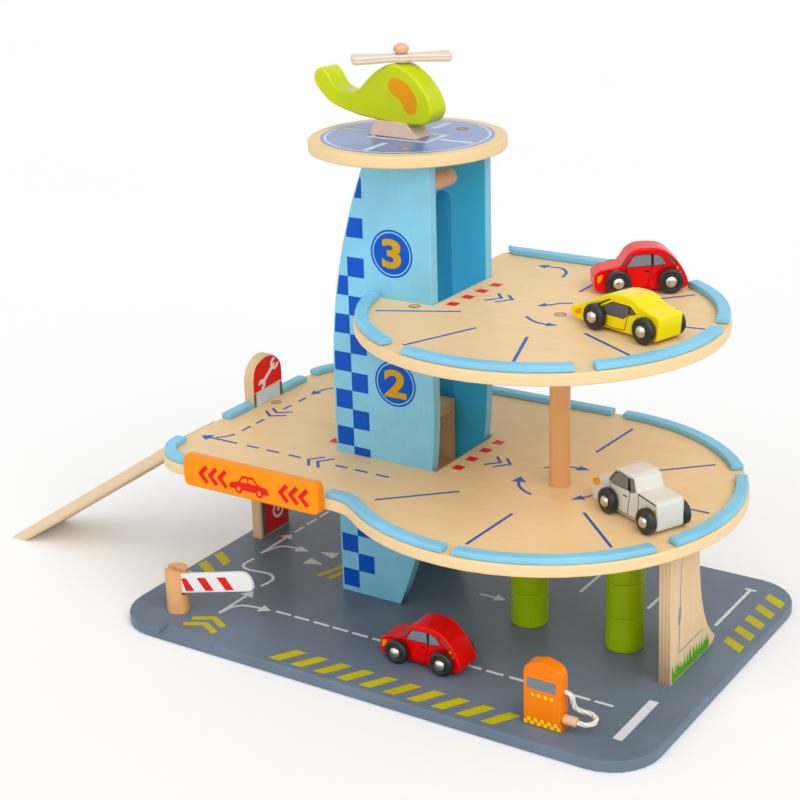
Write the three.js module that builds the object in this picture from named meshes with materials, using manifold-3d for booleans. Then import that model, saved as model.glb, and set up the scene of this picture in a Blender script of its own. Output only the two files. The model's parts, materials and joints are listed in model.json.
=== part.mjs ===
import * as THREE from 'three';
import { mergeVertices } from 'three/addons/utils/BufferGeometryUtils.js';
import Module from 'manifold-3d';

const wasm = await Module();
wasm.setup();

// A wooden toy parking garage. Millimetres, +Z up, +X along the front edge to the right, +Y into the depth.
// The origin is the centre of the base board's underside.

// Boards, fits and curve fineness
const boardThickness = 9;
const boardEdge = 1.5;
const legThickness = 9.5;
const thinEdge = 0.8;
const fitGap = 0.3;
const overrun = 5;
const arcSag = 0.25;
const coarsestArcStep = 30;
const roundedEdgeSteps = 2;

// Base board and its entry slope
const baseWidth = 450;
const baseDepth = 305;
const baseCorner = 38;
const entryLeft = -172.5;
const entryWidth = 47;
const entryDepth = 10;
const entryDrop = 5;
const entrySpread = 3;

// Tower panels
const towerBack = -91.5;
const panelWidth = 89.2;
const panelHeight = 349.7;
const panelTaper = 34.6;
const panelTaperHeight = 168;
const panelTaperSteps = 10;
const towerCentreY = 16.95;
const shaftWidth = 68.7;
const shaftMarginBack = 1;
const shaftMarginFront = 0.8;

// Lift cabin, its guide pegs and its end stop
const cabinLength = 54;
const cabinFront = -31;
const cabinSideGap = 1.8;
const cabinWall = 3;
const cabinClearHeight = 41.8;
const liftRestBelowMidDeck = 21.9;
const pegDiameter = 12.4;
const pegFromCabinFront = 7.8;
const pegBelowRoof = 2.1;
const grooveDepth = 6;
const grooveBottom = 42;
const grooveTop = 320.7;
const stopDiameter = 13;
const stopX = -24;
const stopZ = 336;
const stopLength = 56.4;
const stopSocketDepth = 5;

// Middle deck
const columnHeight = 109.4;
const midLeft = -215;
const midFront = -108.3;
const midFrontCorner = 35;
const midBackCorner = 43;
const midCentreX = 73.9;
const midCentreY = 0.9;
const midRadius = 148.8;
const bayRadius = 30;

// Top deck and its post
const postHeight = 120.1;
const postDiameter = 15;
const postX = 89.4;
const postY = -2.9;
const topCentreX = 74.8;
const topCentreY = -4.2;
const topRadius = 132.6;
const topBackLeft = -28.2;
const topBackCorner = 8;

// Helipad
const helipadX = -47.9;
const helipadY = 18;
const helipadRadius = 73.2;

// Rails along the deck edges
const railWidth = 9;
const railHeight = 5;
const railInset = 1;
const railEdge = 1.3;
const railByRampFront = -69.4;
const railByRampBack = -13.6;
const railByLeg = 0.5;
const railByTower = 3.3;
const railLeftBackEnd = 92.3;
const railBackStart = 109.3;
const railBackEnd = 59.8;
const topRailStartX = -27;
const midRailDegrees = { backRight: [91.4, 35], right: [27.8, -24.6], front: [-31.2, -85.9], bayEnd: -89 };
const topRailDegrees = {
  leftEnd: 244, front: [254, 308], frontRight: [314, 367], right: [15, 58], backEnd: 78,
};

// Right leg, arched sign leg and entry sign
const rightLegFace = 197;
const rightLegFrontFoot = -40;
const rightLegFrontTop = -44.5;
const rightLegBackFoot = 38;
const rightLegBackTop = 4;
const rightLegFootCorner = 6;
const rightLegHollow = 30;
const rightLegCurveSteps = 8;
const signLegFace = -205;
const signLegWidth = 40;
const signLegY = 37.5;
const signLegHeight = 159;
const signAfterCorner = 11;
const signBeforeBay = 6.7;
const signHeight = 25;
const signCorner = 4.5;
const signBelowDeck = 1.9;
const signEdge = 1.8;

// Green columns
const columnDiameter = 28.5;
const columnEdge = 1;
const columnBlocks = 4;
const columnLeftX = 62.8;
const columnRightX = 142.1;
const columnY = 0;

// Ramp and the two pins glued in its end
const rampWidth = 50;
const rampY = -46;
const rampRun = 196;
const rampPinDiameter = 4;
const rampPinSpacing = 28;
const rampPinInDeck = 10;
const rampPinInRamp = 5;
const rampPinBelowTop = 6.2;

// Barrier
const barrierX = -182.5;
const barrierFromFront = 33.5;
const barrierPostDiameter = 18;
const barrierPostHeight = 36;
const barrierPivotHeight = 23.5;
const barrierArmThickness = 4;
const barrierArmHeight = 15.6;
const barrierArmReach = 78.3;
const barrierArmBack = 2;
const barrierTipTop = 9;
const barrierTipBottom = 3.5;
const barrierPinDiameter = 3;
const barrierPinWall = 3;
const barrierRestDegrees = 14.7;

// Petrol pump, hose and nozzle
const pumpLeft = 131.3;
const pumpWidth = 28.7;
const pumpFromFront = 18.5;
const pumpDepth = 10.7;
const pumpHeight = 49.7;
const pumpShoulder = 9;
const pumpCrown = 1.5;
const pumpEdge = 1;
const hoseDiameter = 3.5;
const hoseSides = 8;
const hoseSteps = 26;
const nozzleDiameter = 7;
const nozzleTip = 5;
const nozzleLength = 14;
const nozzleSocketDepth = 3.5;
const nozzleHeight = 9.3;
const nozzleBehindFace = 4;

// Screws and blocks
const screwHead = 6.4;
const screwHeadHeight = 2;
const screwShank = 3;
const screwLength = 20;
const screwSegments = 8;
const screwSink = 0.4;
const blockSize = 15;
const helipadScrewX = -23.8;
const topBlockX = -12.1;

// Cars
const wheelDiameter = 18.5;
const wheelThickness = 5.6;
const wheelShoulder = 1.5;
const wheelSegments = 16;
const axleDiameter = 3;
const boreSegments = 10;
const capDiameter = 8.6;
const capHeight = 2.4;
const capDomeShare = 0.75;
const carWidth = 23;
const carEdge = 1.4;
const carUnderside = 2.2;
const wheelSideGap = 0.4;

// Helicopter
const heliLength = 101;
const heliHeight = 41.2;
const heliThickness = 19;
const heliEdge = 1.6;
const heliX = -49.7;
const heliY = 15.3;
const heliTurnDegrees = -4;
const heliNoseAhead = 29.3;
const heliFootLength = 42;
const heliFootTop = 27;
const heliFootHeight = 11.5;
const heliFootWidth = 20;
const heliFootAhead = -3.9;
const heliSteps = 3;
const rotorLength = 72;
const rotorHub = 14;
const rotorWaist = 9;
const rotorTip = 20;
const rotorTipCorner = 4;
const rotorThickness = 5.5;
const rotorEdge = 1.2;
const rotorTurnDegrees = 38;
const rotorPinDiameter = 5;
const rotorKnob = 11.6;
const rotorKnobHeight = 8.4;
const rotorPinInBody = 16;
const knobSegments = 12;

// Levels and places that follow from the sizes
const baseTop = boardThickness;
const midUnder = baseTop + columnHeight;
const midTop = midUnder + boardThickness;
const topUnder = midTop + postHeight;
const topTop = topUnder + boardThickness;
const helipadUnder = baseTop + panelHeight;
const helipadTop = helipadUnder + boardThickness;
const towerFront = towerBack + panelWidth;
const shaftFrontY = towerCentreY - shaftWidth / 2;
const shaftBackY = towerCentreY + shaftWidth / 2;
const towerFrontY = shaftFrontY - boardThickness;
const towerBackY = shaftBackY + boardThickness;
const midBackY = midCentreY + midRadius;
const topBackY = topCentreY + topRadius;
// Where the bay's hollow curve meets the middle deck's large arc
const bayCentreY = midFront - bayRadius;
const bayRise = midCentreY - bayCentreY;
const bayCentreX = midCentreX - Math.sqrt((midRadius + bayRadius) ** 2 - bayRise ** 2);
const bayDegrees = THREE.MathUtils.radToDeg(Math.atan2(bayRise, midCentreX - bayCentreX));

// The entry sign fills the straight front edge between the corner and the bay
const signLeft = midLeft + midFrontCorner + signAfterCorner;
const signRight = bayCentreX - signBeforeBay;

const rightLegX = rightLegFace - legThickness / 2;
const signLegX = signLegFace - legThickness / 2;
const cabinBack = cabinFront - cabinLength;
const cabinFloorTop = midTop - liftRestBelowMidDeck;
const cabinRoofUnder = cabinFloorTop + cabinClearHeight;
const pegX = cabinFront - pegFromCabinFront;
const pegZ = cabinRoofUnder - pegBelowRoof - pegDiameter / 2;
const wheelRadius = wheelDiameter / 2;
const barrierY = barrierFromFront - baseDepth / 2;
const pumpFront = pumpFromFront - baseDepth / 2;
const pumpRight = pumpLeft + pumpWidth;
const pumpY = pumpFront + pumpDepth / 2;
const nozzleY = pumpFront + nozzleBehindFace;
const nozzleZ = baseTop + nozzleHeight;
const hoseRadius = hoseDiameter / 2;

// Finishes
const pine = { color: 0xe8d2ad, roughness: 0.55, metalness: 0 };
const plyPlain = { color: 0xd8b88c, roughness: 0.6, metalness: 0 };
const dowelWood = { color: 0xdeaa78, roughness: 0.55, metalness: 0 };
const greyPaint = { color: 0x6d7a8b, roughness: 0.5, metalness: 0 };
const bluePaint = { color: 0x87cdeb, roughness: 0.45, metalness: 0 };
const greenPaint = { color: 0x8caf10, roughness: 0.4, metalness: 0 };
const limePaint = { color: 0xc3cd02, roughness: 0.35, metalness: 0 };
const orangePaint = { color: 0xff9800, roughness: 0.4, metalness: 0 };
const whitePaint = { color: 0xeeeeea, roughness: 0.4, metalness: 0 };
const redPaint = { color: 0xd90a0a, roughness: 0.25, metalness: 0 };
const yellowPaint = { color: 0xf5e000, roughness: 0.3, metalness: 0 };
const creamPaint = { color: 0xd9d6c8, roughness: 0.35, metalness: 0 };
const blackPlastic = { color: 0x1c1c1c, roughness: 0.5, metalness: 0 };
const bareSteel = { color: 0xc8c8c4, roughness: 0.25, metalness: 1 };
const cottonRope = { color: 0xe9e2d2, roughness: 0.85, metalness: 0 };

// Side outlines of the cars as shares: along from nose to tail, up from the underside to the roof
const beetleShares = [
  [0.01, 0], [0, 0.36], [0.065, 0.49], [0.2, 0.535], [0.31, 0.58], [0.385, 0.84], [0.47, 0.97],
  [0.61, 1], [0.73, 0.955], [0.83, 0.77], [0.92, 0.49], [0.98, 0.22], [1, 0.03], [0.97, 0],
];
const coupeShares = [
  [0.1, 0], [0.03, 0.06], [0, 0.3], [0.03, 0.36], [0.11, 0.43], [0.265, 0.67], [0.41, 0.91], [0.52, 1],
  [0.69, 0.995], [0.795, 0.83], [0.885, 0.735], [0.985, 0.69], [1, 0.64], [0.98, 0.05], [0.95, 0],
];
const pickupShares = [
  [0.01, 0], [0, 0.31], [0.025, 0.5], [0.18, 0.59], [0.285, 0.66], [0.36, 0.92], [0.43, 1], [0.61, 1],
  [0.665, 0.935], [0.705, 0.63], [0.96, 0.6], [1, 0.56], [1, 0.06], [0.97, 0],
];
const heliShares = [
  [0, 0.652], [0.029, 0.792], [0.084, 0.819], [0.129, 0.722], [0.193, 0.514], [0.282, 0.452],
  [0.366, 0.481], [0.531, 0.843], [0.687, 1], [0.854, 0.819], [0.971, 0.488], [1, 0.24],
  [0.954, 0.03], [0.757, 0.004], [0.391, 0.075], [0.136, 0.244], [0.017, 0.524],
];

// The rotor's knob as shares of its radius and height, from its lower rim up
const knobShares = [[0.72, 0], [1, 0.38], [0.83, 0.75], [0.42, 0.96], [0, 1]];

const carForms = {
  beetle: { length: 69, height: 33.2, wheelbase: 38, noseAhead: 17.2, outlineShares: beetleShares },
  coupe: { length: 84, height: 28, wheelbase: 45.3, noseAhead: 27.4, outlineShares: coupeShares },
  pickup: { length: 75, height: 35, wheelbase: 43.1, noseAhead: 23.8, outlineShares: pickupShares },
};

// The hose from the pump to the nozzle: right of the pump's side, behind its face and up from the base
const hoseRoute = [
  [0.4, 5.7, 29], [2, 5.7, 28.9], [3.9, 5.9, 28], [5.2, 6.4, 26], [5.5, 7.2, 23.2],
  [5.3, 8.4, 20.3], [5.4, 9.9, 17.3], [6.2, 11.8, 14.6], [8.1, 14, 12.6], [11, 15.6, 11.5],
  [14.4, 16.1, 11], [17.9, 15, 10.7], [20.3, 12.4, 10.3], [21, 9, 9.9], [19.6, 5.9, 9.6],
  [16.7, 4.2, 9.4], [13.6, 4, 9.3], [10.8, 4, 9.3],
];

const radians = (degrees) => THREE.MathUtils.degToRad(degrees);

// Points of an arc, spaced so that no chord lies further than the allowed sag inside it
function arc(x, y, radius, fromDegrees, toDegrees) {
  const finest = 2 * THREE.MathUtils.radToDeg(Math.acos(Math.max(0, 1 - arcSag / radius)));
  const step = Math.min(finest, coarsestArcStep);
  const count = Math.max(1, Math.ceil(Math.abs(toDegrees - fromDegrees) / step));
  const points = [];
  for (let i = 0; i <= count; i++) {
    const angle = radians(fromDegrees + ((toDegrees - fromDegrees) * i) / count);
    points.push(new THREE.Vector2(x + radius * Math.cos(angle), y + radius * Math.sin(angle)));
  }
  return points;
}

const at = (x, y) => new THREE.Vector2(x, y);

// Points of a quadratic curve without its first point
function bend(from, control, to, count) {
  return new THREE.QuadraticBezierCurve(from, control, to).getPoints(count).slice(1);
}

// A rectangle with round corners, its four corner radii given from the lower left one anticlockwise
function roundedBox(left, low, right, high, radii) {
  const [a, b, c, d] = radii;
  return [
    ...arc(left + a, low + a, a, 180, 270),
    ...arc(right - b, low + b, b, 270, 360),
    ...arc(right - c, high - c, c, 0, 90),
    ...arc(left + d, high - d, d, 90, 180),
  ];
}

// A closed mesh as a solid that can be joined and cut
function solid(geometry) {
  const bare = geometry.clone();
  bare.deleteAttribute('normal');
  bare.deleteAttribute('uv');
  const merged = mergeVertices(bare);
  const index = merged.index.array;
  const triangles = [];
  for (let i = 0; i < index.length; i += 3) {
    const [a, b, c] = [index[i], index[i + 1], index[i + 2]];
    if (a !== b && b !== c && c !== a) triangles.push(a, b, c);
  }
  return new wasm.Manifold(new wasm.Mesh({
    numProp: 3,
    vertProperties: new Float32Array(merged.attributes.position.array),
    triVerts: new Uint32Array(triangles),
  }));
}

// A solid as a mesh geometry again
function surface(body) {
  const { vertProperties, triVerts } = body.getMesh();
  const geometry = new THREE.BufferGeometry();
  geometry.setAttribute('position', new THREE.BufferAttribute(vertProperties, 3));
  geometry.setIndex(new THREE.BufferAttribute(triVerts, 1));
  return geometry;
}

function cut(geometry, ...tools) {
  return surface(tools.reduce((body, tool) => body.subtract(solid(tool)), solid(geometry)));
}

function join(...parts) {
  return surface(parts.map(solid).reduce((body, part) => body.add(part)));
}

// A board lying flat: its outline in X and Y, its underside at a given level, its edges rounded
function board(points, underside, thickness, edge) {
  const geometry = new THREE.ExtrudeGeometry(new THREE.Shape(points), {
    depth: thickness - 2 * edge,
    bevelEnabled: edge > 0,
    bevelThickness: edge,
    bevelSize: edge,
    bevelOffset: -edge,
    bevelSegments: roundedEdgeSteps,
  });
  return geometry.translate(0, 0, underside + edge);
}

// A board standing along X: its outline in X and Z, its thickness about a middle plane in Y
function wallAlongX(points, middleY, thickness, edge) {
  return board(points, -thickness / 2, thickness, edge).rotateX(Math.PI / 2).translate(0, middleY, 0);
}

// A board standing along Y: its outline in Y and Z, its thickness about a middle plane in X
function wallAlongY(points, middleX, thickness, edge) {
  const upright = board(points, -thickness / 2, thickness, edge).rotateX(Math.PI / 2);
  return upright.rotateZ(Math.PI / 2).translate(middleX, 0, 0);
}

function box(left, right, front, back, low, high) {
  const geometry = new THREE.BoxGeometry(right - left, back - front, high - low);
  return geometry.translate((left + right) / 2, (front + back) / 2, (low + high) / 2);
}

// A turned piece standing upright, its profile given from the lower end to the upper one
function turned(profile, segments) {
  return new THREE.LatheGeometry(profile, segments).rotateX(Math.PI / 2);
}

function rod(radius, low, high, segments) {
  return turned([at(0, low), at(radius, low), at(radius, high), at(0, high)], segments);
}

const segmentsOf = (radius) => arc(0, 0, radius, 0, 360).length - 1;

const root = new THREE.Group();

function add(name, geometry, look, parent = root) {
  const shown = geometry.index ? geometry.toNonIndexed() : geometry;
  shown.computeVertexNormals();
  const mesh = new THREE.Mesh(shown, new THREE.MeshStandardMaterial({ ...look }));
  mesh.name = name;
  parent.add(mesh);
  return mesh;
}

// The screws that show: where each stands and the level of the face that its head is sunk in
const screws = [
  { name: 'screw_helipad_front', x: helipadScrewX, y: (towerFrontY + shaftFrontY) / 2, level: helipadTop },
  { name: 'screw_helipad_back', x: helipadScrewX, y: (towerBackY + shaftBackY) / 2, level: helipadTop },
  { name: 'screw_top_deck_tower', x: topBlockX, y: towerFrontY - blockSize / 2, level: topTop },
  { name: 'screw_top_deck_post', x: postX, y: postY, level: topTop },
  { name: 'screw_mid_deck_sign_leg', x: signLegFace + blockSize / 2, y: signLegY, level: midTop },
];

// A turned screw form with the board's face at the origin: below the shank, above the head
function screwForm(shankRadius, headRadius, tip, headUnder, headTop) {
  const taper = (headRadius - shankRadius) / 2;
  return turned([
    at(0, tip), at(shankRadius, tip), at(shankRadius, headUnder - taper),
    at(headRadius, headUnder), at(headRadius, headTop), at(0, headTop),
  ], screwSegments);
}

function screw(place) {
  const headUnder = -screwSink - screwHeadHeight / 2;
  const form = screwForm(screwShank / 2, screwHead / 2, -screwLength, headUnder, -screwSink);
  return form.translate(place.x, place.y, place.level);
}

// The holes for the screws: each as its screw, wider and deeper by the fit and open at the board's face
function screwHoles() {
  const shank = screwShank / 2 + fitGap;
  const head = screwHead / 2 + fitGap;
  const headUnder = -screwSink - screwHeadHeight / 2 - fitGap;
  return screws.map((place) => {
    const hole = screwForm(shank, head, -screwLength - fitGap, headUnder, overrun);
    return hole.translate(place.x, place.y, place.level);
  });
}

function makeBase() {
  const corners = [baseCorner, baseCorner, baseCorner, baseCorner];
  const outline = roundedBox(-baseWidth / 2, -baseDepth / 2, baseWidth / 2, baseDepth / 2, corners);
  // The entry slope is cut by a wedge that hinges at the slope's upper edge
  const slope = Math.atan2(entryDrop, entryDepth);
  const reach = Math.hypot(entryDrop, entryDepth) + overrun;
  const flare = (entrySpread * reach) / entryDepth;
  const wedge = board(
    [at(0, 0), at(-flare, -reach), at(entryWidth + flare, -reach), at(entryWidth, 0)], 0, boardThickness, 0,
  );
  wedge.rotateX(slope).translate(entryLeft, entryDepth - baseDepth / 2, baseTop);
  add('base_board', cut(board(outline, 0, boardThickness, boardEdge), wedge), greyPaint);
}

// The side view of a tower panel: straight sides with the same curved taper low in front and high behind
function panelOutline() {
  const taperTop = baseTop + panelTaperHeight;
  const taperStart = helipadUnder - panelTaperHeight;
  const footFront = at(towerFront - panelTaper, baseTop);
  const footPull = at(towerFront, (baseTop + taperTop) / 2);
  const headBack = at(towerBack + panelTaper, helipadUnder);
  const headPull = at(towerBack, (helipadUnder + taperStart) / 2);
  return [
    at(towerBack, baseTop),
    footFront,
    ...bend(footFront, footPull, at(towerFront, taperTop), panelTaperSteps),
    at(towerFront, helipadUnder),
    headBack,
    ...bend(headBack, headPull, at(towerBack, taperStart), panelTaperSteps),
  ];
}

// The blind groove that a lift peg runs in, cut from a panel's inner face
function guideGroove(innerFaceY, outwards) {
  const radius = pegDiameter / 2 + fitGap;
  const outline = [
    ...arc(pegX, grooveBottom + radius, radius, 180, 360),
    ...arc(pegX, grooveTop - radius, radius, 0, 180),
  ];
  const depth = grooveDepth + overrun;
  const middle = innerFaceY + outwards * (grooveDepth - depth / 2);
  return wallAlongX(outline, middle, depth, 0);
}

function makeTower() {
  const frontY = (towerFrontY + shaftFrontY) / 2;
  const backY = (towerBackY + shaftBackY) / 2;
  const stopRadius = stopDiameter / 2;
  const stopSocket = rod(stopRadius + fitGap, -stopSocketDepth - fitGap, overrun, segmentsOf(stopRadius));
  stopSocket.rotateX(-Math.PI / 2).translate(stopX, shaftFrontY, stopZ);
  const front = wallAlongX(panelOutline(), frontY, boardThickness, thinEdge);
  const back = wallAlongX(panelOutline(), backY, boardThickness, thinEdge);
  const frontTools = [guideGroove(shaftFrontY, -1), stopSocket, ...screwHoles()];
  add('tower_panel_front', cut(front, ...frontTools), bluePaint);
  add('tower_panel_back', cut(back, guideGroove(shaftBackY, 1), ...screwHoles()), bluePaint);
  const rounding = stopRadius / 2;
  const profile = [
    at(0, 0),
    at(stopRadius, 0),
    ...arc(stopRadius - rounding, stopLength + stopSocketDepth - rounding, rounding, 0, 90),
    at(0, stopLength + stopSocketDepth),
  ];
  const stop = turned(profile, segmentsOf(stopRadius)).rotateX(-Math.PI / 2);
  add('lift_stop_dowel', stop.translate(stopX, shaftFrontY - stopSocketDepth, stopZ), dowelWood);
}

// The room that the tower needs in a deck
function shaftCut(low, high, left) {
  return box(left, towerFront + shaftMarginFront, towerFrontY - fitGap, towerBackY + fitGap, low, high);
}

function rampPinPlaces() {
  return [rampY - rampPinSpacing / 2, rampY + rampPinSpacing / 2];
}

// A rod along X between two places, for the ramp's pins and their holes
function rampRod(radius, from, to, y) {
  const lying = rod(radius, from, to, segmentsOf(radius)).rotateY(Math.PI / 2);
  return lying.translate(0, y, midTop - rampPinBelowTop);
}

function makeMiddleDeck() {
  const outline = [
    ...arc(midLeft + midFrontCorner, midFront + midFrontCorner, midFrontCorner, 180, 270),
    ...arc(bayCentreX, bayCentreY, bayRadius, 90, bayDegrees),
    ...arc(midCentreX, midCentreY, midRadius, bayDegrees - 180, 90).slice(1),
    ...arc(midLeft + midBackCorner, midBackY - midBackCorner, midBackCorner, 90, 180),
  ];
  const legHalf = signLegWidth / 2 + fitGap;
  const low = midUnder - overrun;
  const high = midTop + overrun;
  const notchFront = signLegY - legHalf;
  const legNotch = box(midLeft - overrun, signLegFace + fitGap, notchFront, signLegY + legHalf, low, high);
  const pinHoles = rampPinPlaces().map((y) => rampRod(
    rampPinDiameter / 2 + fitGap, midLeft - overrun, midLeft + rampPinInDeck + fitGap, y,
  ));
  const shaft = shaftCut(low, high, towerBack - shaftMarginBack);
  const deck = board(outline, midUnder, boardThickness, boardEdge);
  add('mid_deck', cut(deck, shaft, legNotch, ...pinHoles, ...screwHoles()), pine);
}

function makeTopDeck() {
  const outline = [
    ...arc(topCentreX, topCentreY, topRadius, 180, 450),
    ...arc(topBackLeft + topBackCorner, topBackY - topBackCorner, topBackCorner, 90, 180),
    at(topBackLeft, topCentreY),
  ];
  const shaft = shaftCut(topUnder - overrun, topTop + overrun, towerBack - shaftMarginBack);
  add('top_deck', cut(board(outline, topUnder, boardThickness, boardEdge), shaft, ...screwHoles()), pine);
  const post = rod(postDiameter / 2, midTop, topUnder, segmentsOf(postDiameter / 2));
  add('deck_post', cut(post.translate(postX, postY, 0), ...screwHoles()), dowelWood);
}

function makeHelipad() {
  const outline = arc(helipadX, helipadY, helipadRadius, 0, 360).slice(1);
  add('helipad', cut(board(outline, helipadUnder, boardThickness, boardEdge), ...screwHoles()), pine);
}

// One rail along a deck's edge, its path given as points for any inset from that edge
function rail(path, level) {
  return board([...path(railInset), ...path(railInset + railWidth).reverse()], level, railHeight, railEdge);
}

function makeMiddleRails() {
  const around = (from, to) => (inset) => arc(midCentreX, midCentreY, midRadius - inset, from, to);
  const alongLeft = (from, to) => (inset) => [at(midLeft + inset, from), at(midLeft + inset, to)];
  const entry = (inset) => [
    at(midLeft + inset, railByRampFront),
    ...arc(midLeft + midFrontCorner, midFront + midFrontCorner, midFrontCorner - inset, 180, 270),
    at(signLeft - railByLeg, midFront + inset),
  ];
  const legHalf = signLegWidth / 2 + railByLeg;
  const backRise = railBackStart - midBackY + midBackCorner;
  const backStart = 180 - THREE.MathUtils.radToDeg(Math.asin(backRise / midBackCorner));
  const back = (inset) => [
    ...arc(midLeft + midBackCorner, midBackY - midBackCorner, midBackCorner - inset, backStart, 90),
    at(railBackEnd, midBackY - inset),
  ];
  const bay = (inset) => [
    at(signRight, midFront + inset),
    ...arc(bayCentreX, bayCentreY, bayRadius + inset, 90, bayDegrees),
    ...arc(midCentreX, midCentreY, midRadius - inset, bayDegrees - 180, midRailDegrees.bayEnd).slice(1),
  ];
  const rails = {
    rail_mid_entry: entry,
    rail_mid_left_front: alongLeft(railByRampBack, signLegY - legHalf),
    rail_mid_left_back: alongLeft(signLegY + legHalf, railLeftBackEnd),
    rail_mid_back: back,
    rail_mid_back_right: around(...midRailDegrees.backRight),
    rail_mid_right: around(...midRailDegrees.right),
    rail_mid_front: around(...midRailDegrees.front),
    rail_mid_bay: bay,
  };
  for (const [name, path] of Object.entries(rails)) add(name, rail(path, midTop), bluePaint);
}

function makeTopRails() {
  const around = (from, to) => (inset) => arc(topCentreX, topCentreY, topRadius - inset, from, to);
  const back = (inset) => [
    at(topRailStartX + inset, topBackY - inset),
    ...arc(topCentreX, topCentreY, topRadius - inset, 90, topRailDegrees.backEnd),
  ];
  const leftRise = topCentreY - towerFrontY + railByTower;
  const leftInner = topRadius - railInset - railWidth;
  const leftStart = 180 + THREE.MathUtils.radToDeg(Math.asin(leftRise / leftInner));
  const rails = {
    rail_top_left: around(leftStart, topRailDegrees.leftEnd),
    rail_top_front: around(...topRailDegrees.front),
    rail_top_front_right: around(...topRailDegrees.frontRight),
    rail_top_right: around(...topRailDegrees.right),
    rail_top_back: back,
  };
  for (const [name, path] of Object.entries(rails)) add(name, rail(path, topTop), bluePaint);
}

function makeRightLeg() {
  const backFoot = at(rightLegBackFoot, baseTop + rightLegFootCorner);
  const backTop = at(rightLegBackTop, midUnder);
  const outline = [
    at(rightLegFrontFoot, baseTop),
    ...arc(backFoot.x - rightLegFootCorner, backFoot.y, rightLegFootCorner, 270, 360),
    ...bend(backFoot, at(rightLegBackTop + fitGap, baseTop + rightLegHollow), backTop, rightLegCurveSteps),
    at(rightLegFrontTop, midUnder),
  ];
  const leg = wallAlongY(outline, rightLegX, legThickness, thinEdge);
  add('right_leg', leg, plyPlain);
}

function makeSignLeg() {
  const half = signLegWidth / 2;
  const outline = [
    at(signLegY - half, baseTop),
    at(signLegY + half, baseTop),
    ...arc(signLegY, baseTop + signLegHeight - half, half, 0, 180),
  ];
  add('sign_leg', wallAlongY(outline, signLegX, legThickness, thinEdge), plyPlain);
}

function makeEntrySign() {
  const low = midUnder - signBelowDeck;
  const corners = [signCorner, signCorner, signCorner, signCorner];
  const outline = roundedBox(signLeft, low, signRight, low + signHeight, corners);
  const middleY = midFront - fitGap - boardThickness / 2;
  add('entry_sign', wallAlongX(outline, middleY, boardThickness, signEdge), orangePaint);
}

// A column turned with a V groove at each seam between its blocks
function makeColumn(name, x) {
  const blockHeight = columnHeight / columnBlocks;
  const radius = columnDiameter / 2;
  const profile = [at(0, baseTop)];
  for (let i = 0; i < columnBlocks; i++) {
    const low = baseTop + i * blockHeight;
    const high = low + blockHeight;
    profile.push(at(radius - columnEdge, low), at(radius, low + columnEdge), at(radius, high - columnEdge));
  }
  profile.push(at(radius - columnEdge, midUnder), at(0, midUnder));
  add(name, turned(profile, segmentsOf(radius)).translate(x, columnY, 0), greenPaint);
}

// The wooden blocks under the decks that two of the screws bite into
function makeBlocks() {
  const half = blockSize / 2;
  const byTower = box(
    topBlockX - half, topBlockX + half, towerFrontY - fitGap - blockSize, towerFrontY - fitGap,
    topUnder - blockSize, topUnder,
  );
  const bySignLeg = box(
    signLegFace + fitGap, signLegFace + fitGap + blockSize, signLegY - half, signLegY + half,
    midUnder - blockSize, midUnder,
  );
  add('block_tower', cut(byTower, ...screwHoles()), pine);
  add('block_sign_leg', cut(bySignLeg, ...screwHoles()), pine);
}

function makeScrews() {
  for (const place of screws) add(place.name, screw(place), bareSteel);
}

function makeRamp() {
  const fall = midTop / rampRun;
  const end = midLeft - fitGap;
  const endHeight = boardThickness * Math.hypot(1, fall);
  const outline = [
    at(end, midTop),
    at(end - rampRun, 0),
    at(end - rampRun + endHeight / fall, 0),
    at(end, midTop - endHeight),
  ];
  const pins = rampPinPlaces().map(
    (y) => rampRod(rampPinDiameter / 2, end - rampPinInRamp, midLeft + rampPinInDeck, y),
  );
  add('ramp', join(wallAlongX(outline, rampY, rampWidth, thinEdge), ...pins), plyPlain);
}

function makeBarrier() {
  const radius = barrierPostDiameter / 2;
  const post = rod(radius, baseTop, baseTop + barrierPostHeight, segmentsOf(radius));
  post.translate(barrierX, barrierY, 0);
  const pivotZ = baseTop + barrierPivotHeight;
  const armY = barrierY - barrierArmBack;
  const slotHalf = barrierArmThickness / 2 + fitGap;
  const slot = box(
    barrierX - radius - overrun, barrierX + radius + overrun, armY - slotHalf, armY + slotHalf,
    pivotZ - barrierArmHeight / 2 - fitGap, baseTop + barrierPostHeight + overrun,
  );
  const pinFront = barrierY - radius + barrierPinWall;
  const pinBack = barrierY + radius - fitGap;
  const pinRod = (thickness, from, to) => rod(thickness, from, to, screwSegments).rotateX(-Math.PI / 2);
  const pinHole = pinRod(barrierPinDiameter / 2 + fitGap, pinFront - fitGap, barrierY + radius + overrun);
  add('barrier_post', cut(post, slot, pinHole.translate(barrierX, 0, pivotZ)), dowelWood);
  const pin = pinRod(barrierPinDiameter / 2, pinFront, pinBack).translate(barrierX, 0, pivotZ);
  add('barrier_pin', pin, bareSteel);

  // The arm is drawn level about its pivot and stands raised in its own group
  const half = barrierArmHeight / 2;
  const outline = [
    ...arc(0, 0, half, 90, 270),
    ...arc(barrierArmReach - barrierTipBottom, barrierTipBottom - half, barrierTipBottom, 270, 360),
    ...arc(barrierArmReach - barrierTipTop, half - barrierTipTop, barrierTipTop, 0, 90),
  ];
  const bore = pinRod(barrierPinDiameter / 2 + fitGap, -barrierArmThickness, barrierArmThickness);
  const arm = new THREE.Group();
  arm.position.set(barrierX, armY, pivotZ);
  arm.rotation.y = -radians(barrierRestDegrees);
  root.add(arm);
  add('barrier_arm', cut(wallAlongX(outline, 0, barrierArmThickness, thinEdge), bore), whitePaint, arm);
}

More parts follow.
